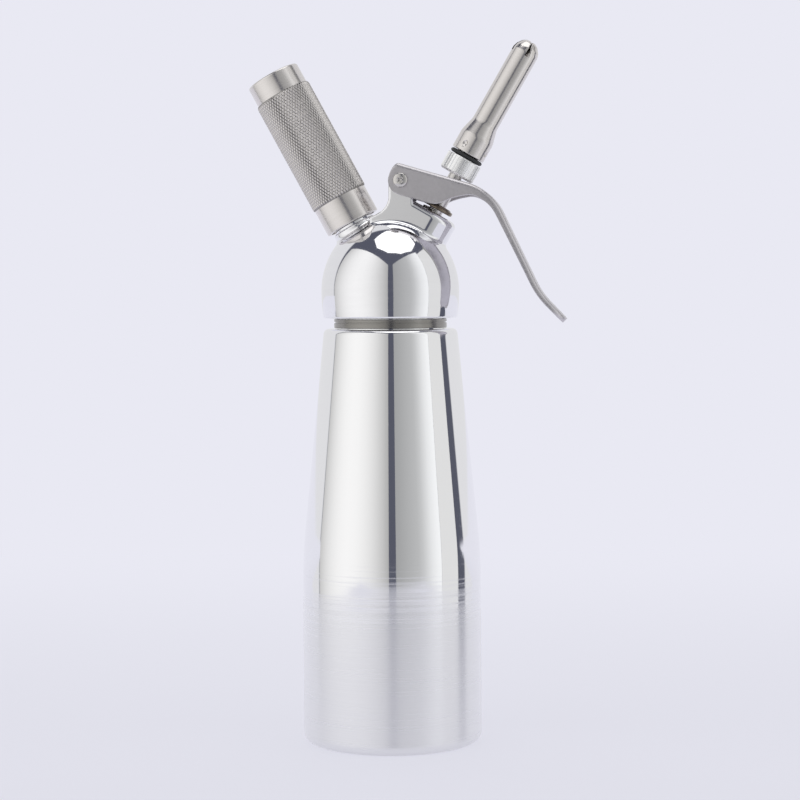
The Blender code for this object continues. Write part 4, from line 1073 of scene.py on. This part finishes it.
def make_valve():
    """Stem, spring cap and return spring."""
    hole_low = CROSS_HOLE_Z - CROSS_HOLE_R
    stem = turned("stem_turned", rounded([
        (0, hole_low), (STEM_BORE_R, hole_low), (STEM_BORE_R, STEM_TOP),
        (STEM_TOP_R, STEM_TOP, STEM_CHAMFER), (STEM_TOP_R, STEM_FLANGE_TOP),
        (STEM_FLANGE_R, STEM_FLANGE_TOP, STEM_CHAMFER),
        (STEM_FLANGE_R, STEM_FLANGE_TOP - STEM_FLANGE_T, STEM_CHAMFER),
        (STEM_R, STEM_FLANGE_TOP - STEM_FLANGE_T), (STEM_R, SEAT_RISE), (STEM_TAIL_R, SEAT_RISE),
        (STEM_TAIL_R, STEM_TAIL, STEM_CHAMFER), (0, STEM_TAIL)]), VALVE_FRAME)
    across = VALVE_FRAME @ Matrix.Translation((0, 0, CROSS_HOLE_Z)) @ Matrix.Rotation(
        math.radians(90), 4, "X")
    cut(stem, [bar("cut_cross_hole", CROSS_HOLE_R, -STEM_R - OVERRUN, STEM_R + OVERRUN, across,
                   32)])
    dress(stem, "screw", "valve", "steel", "valve_stem")
    inner = STEM_R + CLEAR
    lip = CAP_T / 4
    cap = turned("cap_rolled", rounded([
        (inner, CAP_Z), (inner, CAP_Z + CAP_T, lip / 2), (inner + 3 * lip, CAP_Z + CAP_T, lip),
        (inner + 4 * lip, CAP_Z + CAP_T - lip / 2, lip), (CAP_R - 2 * lip, CAP_Z + CAP_T - lip, lip),
        (CAP_R, CAP_Z + CAP_T - lip, lip * 1.2), (CAP_R, CAP_Z, lip)], True), VALVE_FRAME,
        closed=True)
    # the cap's dark colour is painted shade for the counterbore under the lever
    dress(cap, "cap_shade", "valve", "dark_steel", "spring_cap")

    count = round(SPRING_TURNS * SPRING_STEPS)
    low = SPRING_FOOT + SPRING_WIRE_R
    high = SPRING_HEAD - SPRING_WIRE_R
    sides = SPRING_SIDES
    verts = []
    for index in range(count + 1):
        angle = math.tau * index / SPRING_STEPS
        out = Vector((math.cos(angle), math.sin(angle), 0))
        centre = out * SPRING_MEAN_R + Vector((0, 0, low + (high - low) * index / count))
        for side in range(sides):
            around = math.tau * side / sides
            verts.append(tuple(centre + SPRING_WIRE_R * (out * math.cos(around)
                                                         + Vector((0, 0, math.sin(around))))))
    faces = [tuple(range(sides)), tuple(range(count * sides, (count + 1) * sides))]
    for row in range(count):
        for side in range(sides):
            after = (side + 1) % sides
            faces.append((row * sides + side, row * sides + after,
                          (row + 1) * sides + after, (row + 1) * sides + side))
    coil = finish("spring_coil", mesh_from("spring_coil", verts, faces), VALVE_FRAME,
                  weighted=False)
    settle(coil)
    coil.data.materials.append(MATERIALS["screw"])
    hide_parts("valve_spring")
    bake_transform(coil)


def ribs_and_stud(radii, height, angles):
    """Straight grip ribs on the adapter and a thread on its stud."""
    pitch, depth, low, high = STUD_THREAD
    if height > ADAPTER_TOP + low:
        return thread(STUD_R, pitch, depth, ADAPTER_TOP + low, ADAPTER_TOP + high)(
            radii, height, angles)
    if radii[0] < ADAPTER_R - ADAPTER_CHAMFER - CLEAR / 10:
        return radii
    wave = np.cos(angles * ADAPTER_RIBS)
    groove = np.clip(0.5 - RIB_SHARPNESS * wave, 0, 1)
    return np.minimum(radii, ADAPTER_R - ADAPTER_RIB_DEPTH * groove)


def make_adapter():
    """Bright adapter with straight ribs, a threaded stud and a bore right through."""
    pitch, _, low, high = STUD_THREAD
    shoulder = ADAPTER_R - ADAPTER_RIB_DEPTH
    outline = rounded([(STUD_BORE_R, STUD_TOP), (STUD_R, STUD_TOP, ADAPTER_RIB_DEPTH),
                       (STUD_R, ADAPTER_TOP + high)])
    outline += rows(STUD_R, ADAPTER_TOP + high, ADAPTER_TOP + low, pitch / THREAD_ROWS)[1:]
    outline += rounded([(STUD_R, ADAPTER_TOP), (shoulder, ADAPTER_TOP, ADAPTER_RIB_DEPTH / 3),
                        (ADAPTER_R, ADAPTER_TOP - ADAPTER_RIB_DEPTH, ADAPTER_RIB_DEPTH / 2),
                        (ADAPTER_R, ADAPTER_Z + ADAPTER_CHAMFER, ADAPTER_CHAMFER / 2),
                        (ADAPTER_R - ADAPTER_CHAMFER, ADAPTER_Z),
                        (STEM_TOP_R + CLEAR, ADAPTER_Z),
                        (STEM_TOP_R + CLEAR, STEM_TOP + CLEAR), (STUD_BORE_R, STEM_TOP + CLEAR)])
    adapter = turned("adapter_ribbed", outline, VALVE_FRAME, closed=True,
                     segments=RIB_STEPS * ADAPTER_RIBS, shape=ribs_and_stud)
    dress(adapter, "adapter", "valve", "adapter_aluminium", "nozzle_adapter")


def make_nozzle():
    """Seal ring and turned nozzle with a slotted tip and four dimples."""
    inner = STUD_R + CLEAR
    points = []
    for step in range(24):
        angle = -math.tau * step / 24
        points.append(((inner + O_RING_R) / 2 + (O_RING_R - inner) / 2 * math.cos(angle),
                       O_RING_Z + O_RING_T / 2 * (1 + math.sin(angle))))
    dress(turned("nozzle_seal_ring", points, VALVE_FRAME, closed=True), "rubber", "nozzle_seal",
          "rubber", "nozzle_o_ring")
    top = NOZZLE_Z + NOZZLE_L
    shoulder = NOZZLE_Z + NOZZLE_BASE_H
    bend = top - NOZZLE_BEND_DROP
    wall = NOZZLE_TUBE_R - NOZZLE_BORE_R
    nozzle = turned("nozzle_tube", rounded([
        (NOZZLE_BASE_R, NOZZLE_Z, NOZZLE_CHAMFER),
        (NOZZLE_BASE_R, shoulder, NOZZLE_SHOULDER_FILLET),
        (NOZZLE_TUBE_R, shoulder + NOZZLE_SHOULDER_H, NOZZLE_SHOULDER_FILLET),
        (NOZZLE_TUBE_R, bend, NOZZLE_BEND_FILLET),
        (NOZZLE_BROW_R, top - NOZZLE_BROW_DROP, NOZZLE_BEND_FILLET),
        (NOZZLE_NOSE_R, top - NOZZLE_NOSE_DROP, NOZZLE_BEND_FILLET), (NOZZLE_TIP_R, top),
        (NOZZLE_TIP_R - wall, top), (NOZZLE_NOSE_R - wall, top - NOZZLE_NOSE_DROP - wall),
        (NOZZLE_BORE_R, bend), (NOZZLE_BORE_R, STUD_TOP + wall), (inner, STUD_TOP + CLEAR),
        (inner, NOZZLE_Z)], True), VALVE_FRAME, closed=True)
    tools = []
    near = (NOZZLE_TIP_R - wall) / 2
    far = NOZZLE_TUBE_R + OVERRUN
    for index in range(TIP_SLOTS):
        corners = [(-TIP_SLOT_W / 2, top - NOZZLE_TIP_H), (TIP_SLOT_W / 2, top - NOZZLE_TIP_H),
                   (TIP_SLOT_TIP_W / 2, top + OVERRUN), (-TIP_SLOT_TIP_W / 2, top + OVERRUN)]
        place = VALVE_FRAME @ Matrix.Rotation(
            math.radians(TIP_SLOT_ANGLE + 360 / TIP_SLOTS * index), 4, "Z")
        tools.append(prism("cut_tip_%d" % index, [(x, -near, z) for x, z in corners],
                           [(x, -far, z) for x, z in corners], place))
    ball_r = (DIMPLE_R ** 2 + DIMPLE_DEPTH ** 2) / (2 * DIMPLE_DEPTH)
    for index, angle in enumerate(DIMPLES):
        turn = math.radians(angle)
        reach = NOZZLE_BASE_R - DIMPLE_DEPTH + ball_r
        centre = Matrix.Translation((reach * math.sin(turn), -reach * math.cos(turn), DIMPLE_Z))
        arc = [(ball_r * math.sin(math.radians(step)), ball_r * math.cos(math.radians(step)))
               for step in range(0, 181, 6)]
        tools.append(turned("cut_dimple_%d" % index, arc, VALVE_FRAME @ centre, segments=40))
    cut(nozzle, tools)
    dress(nozzle, "nozzle", "nozzle", "steel", "nozzle")


def knurl(radii, height, angles):
    """Diamond points, cut flat, on the widest part of the holder."""
    if radii[0] < HOLDER_R - 1e-6:
        return radii
    round_phase = angles * KNURL_ROUND / math.tau
    along = (height - HOLDER_Z - HOLDER_FOOT_H) / KNURL_PITCH
    waves = [1 - np.abs(2 * ((round_phase + side * along) % 1) - 1) for side in (-1, 1)]
    point = np.minimum(np.minimum(*waves), KNURL_TOP_SHARE) / KNURL_TOP_SHARE
    return radii - KNURL_DEPTH * (1 - point)


def make_holder():
    """Screwed charger holder with a diamond-knurled grip."""
    low = HOLDER_Z + HOLDER_FOOT_H
    high = HOLDER_TOP - HOLDER_CAP_H
    mouth = NIPPLE_R + CLEAR
    bore = CHARGER_R + CHARGER_PLAY
    thread_top = NIPPLE_TOP + CLEAR
    first = low + KNURL_PITCH / KNURL_STEPS * math.ceil(HOLDER_STEP * KNURL_STEPS / KNURL_PITCH)
    count = math.floor((high - HOLDER_STEP - first) * KNURL_STEPS / KNURL_PITCH)
    last = first + count * KNURL_PITCH / KNURL_STEPS
    outline = rounded([(0, HOLDER_TOP), (HOLDER_CAP_R, HOLDER_TOP, HOLDER_END_FILLET),
                       (HOLDER_CAP_R, high)])
    outline += [Vector((HOLDER_R - HOLDER_STEP, high))]
    outline += [Vector(point) for point in rows(HOLDER_R, last, first, KNURL_PITCH / KNURL_STEPS)]
    outline += [Vector((HOLDER_R - HOLDER_STEP, low))]
    outline += rounded([(HOLDER_FOOT_R, low), (HOLDER_FOOT_R, HOLDER_Z, HOLDER_STEP),
                        (mouth, HOLDER_Z), (mouth, thread_top), (bore, thread_top),
                        (bore, CHARGER_TOP + CLEAR), (0, CHARGER_TOP + CLEAR)])
    holder = turned("holder_knurled", outline, PORT_FRAME, segments=KNURL_ROUND * KNURL_STEPS,
                    shape=knurl, split=True)
    dress(holder, "holder", "holder", "steel", "charger_holder")


def dress_carried():
    """Materials of the small pieces whose CAD shape is already right."""
    carried = {"inner_rubber": ("head_gasket", "stem_o_ring", "valve_seal", "charger_seal",
                                "check_valve_sleeve"),
               "brass": ("guide_bush", "pin_retainer"),
               "inner_steel": ("gland_washer", "seal_nut", "piercing_pin"),
               "charger": ("gas_charger",)}
    for material, names in carried.items():
        for name in names:
            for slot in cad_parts[name].material_slots:
                slot.material = MATERIALS[material]


# Studio. Azimuths are seen from the object: 0 towards the camera, positive to the right.

CAMERA_D = 1.0
CAMERA_YAW = 5.2
CAMERA_Z = 0.204
CAMERA_PITCH = 2.99
CAMERA_ROLL = -0.35
CAMERA_LENS = 101.7
AIM_RIGHT = 0.0040
BACKGROUND = (0.815, 0.815, 0.896)
PANEL_FOOT = -0.9            # the panels reach down past the table's edge
TABLE_FRONT = 0.56           # the table's edges near the camera
TABLE_SIDE = 0.45
FLOOR_COLOUR = (0.80, 0.80, 0.89)
FLOOR_FADE_NEAR = -0.2       # the floor fades into the background between these places
FLOOR_FADE_FAR = 0.7
FLOOR_GLOW_SHARE = 0.7       # of the background's light in the near part of the floor
CEILING = (0.10, 0.105, 0.14)
BACKDROP = (0.78, 0.78, 0.80)
BACKDROP_START = 0.28        # share of a direction that points away from the camera
BACKDROP_FULL = 0.34
LEFT_NORMAL = -59
LEFT_FALL = 1.3              # the left panel's light falls off with this reach
RIGHT_LEVELS = ((5, 0.38), (37, 0.54), (56, 0.92), (66, 1.0))
SOFTBOX_RISE = 0.97
SOFTBOX_R = 0.50
SOFTBOX_DEPTH_SHARE = 0.90
SOFTBOX_LIGHT = 1.5


def heading(azimuth):
    """Level direction from the object at an azimuth."""
    angle = math.radians(azimuth + CAMERA_YAW)
    return Vector((math.sin(angle), -math.cos(angle), 0))


def make_camera():
    data = bpy.data.cameras.new("camera")
    data.lens = CAMERA_LENS
    data.sensor_width = 36.0
    data.clip_start = 0.01
    data.clip_end = 100
    camera = bpy.data.objects.new("camera", data)
    bpy.context.collection.objects.link(camera)
    place = heading(0) * CAMERA_D + Vector((0, 0, CAMERA_Z))
    target = heading(90) * AIM_RIGHT + Vector(
        (0, 0, CAMERA_Z - CAMERA_D * math.tan(math.radians(CAMERA_PITCH))))
    camera.matrix_world = (Matrix.Translation(place)
                           @ (target - place).to_track_quat("-Z", "Y").to_matrix().to_4x4()
                           @ Matrix.Rotation(math.radians(CAMERA_ROLL), 4, "Z"))
    bpy.context.scene.camera = camera


def light_material(name, levels, strength=1.0):
    """Emission whose level follows the first generated coordinate."""
    material = bpy.data.materials.new(name)
    material.use_nodes = True
    tree = material.node_tree
    tree.nodes.clear()
    place = grow(tree, "ShaderNodeTexCoord").outputs["Generated"]
    across = grow(tree, "ShaderNodeSeparateXYZ", {0: place}).outputs[0]
    ramp = grow(tree, "ShaderNodeValToRGB", {0: across})
    glow = grow(tree, "ShaderNodeEmission", {"Color": ramp.outputs[0], "Strength": strength})
    grow(tree, "ShaderNodeOutputMaterial", {"Surface": glow.outputs[0]})
    while len(ramp.color_ramp.elements) < len(levels):
        ramp.color_ramp.elements.new(0.5)
    for element, (position, colour) in zip(ramp.color_ramp.elements, levels):
        element.position = position
        element.color = (*colour, 1)
    return material


def make_panel(name, normal, distance, near, far, low, high, level, steps=12, strength=1.0):
    """Upright light panel between two azimuths, with a level for each azimuth."""
    reach_near = math.tan(math.radians(near - normal))
    reach_far = math.tan(math.radians(far - normal))
    levels = []
    for step in range(steps + 1):
        reach = reach_near + (reach_far - reach_near) * step / steps
        levels.append((step / steps, level(normal + math.degrees(math.atan(reach)))))
    width = (reach_far - reach_near) * distance
    mesh = mesh_from(name, [(0, 0, low), (width, 0, low), (width, 0, high), (0, 0, high)],
                     [(0, 1, 2, 3)])
    panel = bpy.data.objects.new(name, mesh)
    bpy.context.collection.objects.link(panel)
    mesh.materials.append(light_material(name, levels, strength))
    across = heading(normal + 90)
    start = heading(normal) * distance + across * (reach_near * distance)
    panel.matrix_world = Matrix.Translation(start) @ Matrix.Rotation(
        math.atan2(across.y, across.x), 4, "Z")
    panel.visible_camera = False


def grey(value, warm=0.0):
    """A light's colour at a level, a little warmer or cooler."""
    return (value * (1 + warm), value, value * (1 - warm))


def make_softbox():
    """Octagonal overhead softbox."""
    centre = (heading(90) * 0.13 + heading(0) * 0.20 + Vector((0, 0, 0.97))).normalized()
    place = Vector((0, 0, DOME_Z)) + centre * (SOFTBOX_RISE / centre.z)
    verts = [(0, 0, 0)]
    for step in range(8):
        angle = math.radians(22.5 + 45 * step)
        verts.append((SOFTBOX_R * math.cos(angle),
                      SOFTBOX_R * SOFTBOX_DEPTH_SHARE * math.sin(angle), 0))
    faces = [(0, step + 1, (step + 1) % 8 + 1) for step in range(8)]
    mesh = mesh_from("softbox", verts, faces)
    box = bpy.data.objects.new("softbox", mesh)
    bpy.context.collection.objects.link(box)
    mesh.materials.append(light_material("softbox", [(0.0, grey(1.0)), (1.0, grey(1.0))],
                                         SOFTBOX_LIGHT))
    box.matrix_world = Matrix.Translation(place) @ Matrix.Rotation(
        math.radians(CAMERA_YAW), 4, "Z")
    box.visible_camera = False


def make_floor():
    """Pale floor that fades into the background colour behind the object."""
    reach = 6.0
    verts = [(-TABLE_SIDE, -TABLE_FRONT, 0), (TABLE_SIDE, -TABLE_FRONT, 0),
             (TABLE_SIDE, 0.3, 0), (reach, 0.9, 0), (reach, reach, 0), (-reach, reach, 0),
             (-reach, 0.9, 0), (-TABLE_SIDE, 0.3, 0)]
    mesh = mesh_from("floor", verts, [tuple(range(len(verts)))])
    floor = bpy.data.objects.new("floor", mesh)
    bpy.context.collection.objects.link(floor)
    floor.matrix_world = Matrix.Rotation(math.radians(CAMERA_YAW), 4, "Z")
    material = bpy.data.materials.new("floor")
    material.use_nodes = True
    tree = material.node_tree
    principled = tree.nodes["Principled BSDF"]
    principled.inputs["Base Color"].default_value = (*FLOOR_COLOUR, 1)
    principled.inputs["Roughness"].default_value = 0.6
    principled.inputs["Specular IOR Level"].default_value = 0.1
    place = grow(tree, "ShaderNodeTexCoord").outputs["Object"]
    away = grow(tree, "ShaderNodeSeparateXYZ", {0: place}).outputs["Y"]
    fade = grow(tree, "ShaderNodeMapRange",
                {"Value": away, "From Min": FLOOR_FADE_NEAR, "From Max": FLOOR_FADE_FAR,
                 "To Min": FLOOR_GLOW_SHARE}, interpolation_type="SMOOTHSTEP")
    glow = grow(tree, "ShaderNodeEmission", {"Color": (*BACKGROUND, 1)})
    mix = grow(tree, "ShaderNodeMixShader",
               {0: fade.outputs[0], 1: principled.outputs[0], 2: glow.outputs[0]})
    tree.links.new(mix.outputs[0], tree.nodes["Material Output"].inputs["Surface"])
    mesh.materials.append(material)


def make_world():
    """Backdrop, dim ceiling, and the plain background that the camera sees."""
    world = bpy.data.worlds.new("studio")
    bpy.context.scene.world = world
    world.use_nodes = True
    tree = world.node_tree
    tree.nodes.clear()

    place = grow(tree, "ShaderNodeTexCoord").outputs["Generated"]
    dot = grow(tree, "ShaderNodeVectorMath", {0: place, 1: -heading(0)},
               operation="DOT_PRODUCT").outputs["Value"]
    away = grow(tree, "ShaderNodeMapRange",
                {"Value": dot, "From Min": BACKDROP_START, "From Max": BACKDROP_FULL},
                interpolation_type="SMOOTHSTEP").outputs[0]
    studio = grow(tree, "ShaderNodeMix", {0: away, 6: (*CEILING, 1), 7: (*BACKDROP, 1)},
                  data_type="RGBA").outputs[2]
    direct = grow(tree, "ShaderNodeLightPath").outputs["Is Camera Ray"]
    seen = grow(tree, "ShaderNodeMix", {0: direct, 6: studio, 7: (*BACKGROUND, 1)},
                data_type="RGBA").outputs[2]
    background = grow(tree, "ShaderNodeBackground", {"Color": seen})
    grow(tree, "ShaderNodeOutputWorld", {"Surface": background.outputs[0]})


def left_level(azimuth):
    reach = math.tan(math.radians(azimuth - LEFT_NORMAL)) / LEFT_FALL
    return grey(1 / (1 + reach ** 2), 0.004)


def right_level(azimuth):
    return grey(float(np.interp(azimuth, *zip(*RIGHT_LEVELS))), -0.01)


def card_level(azimuth):
    return grey(0.79)


def strip_level(azimuth):
    return grey(0.30)


# Name, azimuth that it faces, distance, near and far azimuth, foot, top and level
PANELS = (("left_panel", LEFT_NORMAL, 1.0, -106, -4, PANEL_FOOT, 1.57, left_level),
          ("right_panel", 54.4, 1.0, 5, 66, PANEL_FOOT, 1.44, right_level),
          ("white_card", 79.5, 1.1, 66.3, 93, PANEL_FOOT, 1.44, card_level),
          ("grey_strip", 100, 1.2, 93, 107, 0.41, 1.6, strip_level))


def make_studio():
    """Two upright light panels, a white card, a grey strip and the softbox."""
    for panel in PANELS:
        make_panel(*panel)
    make_softbox()
    make_floor()
    make_world()
    view = bpy.context.scene.view_settings
    view.view_transform = "Standard"


make_bottle()
make_head()
make_lever()
make_pivot()
make_valve()
make_adapter()
make_nozzle()
make_holder()
dress_carried()
make_studio()
make_camera()
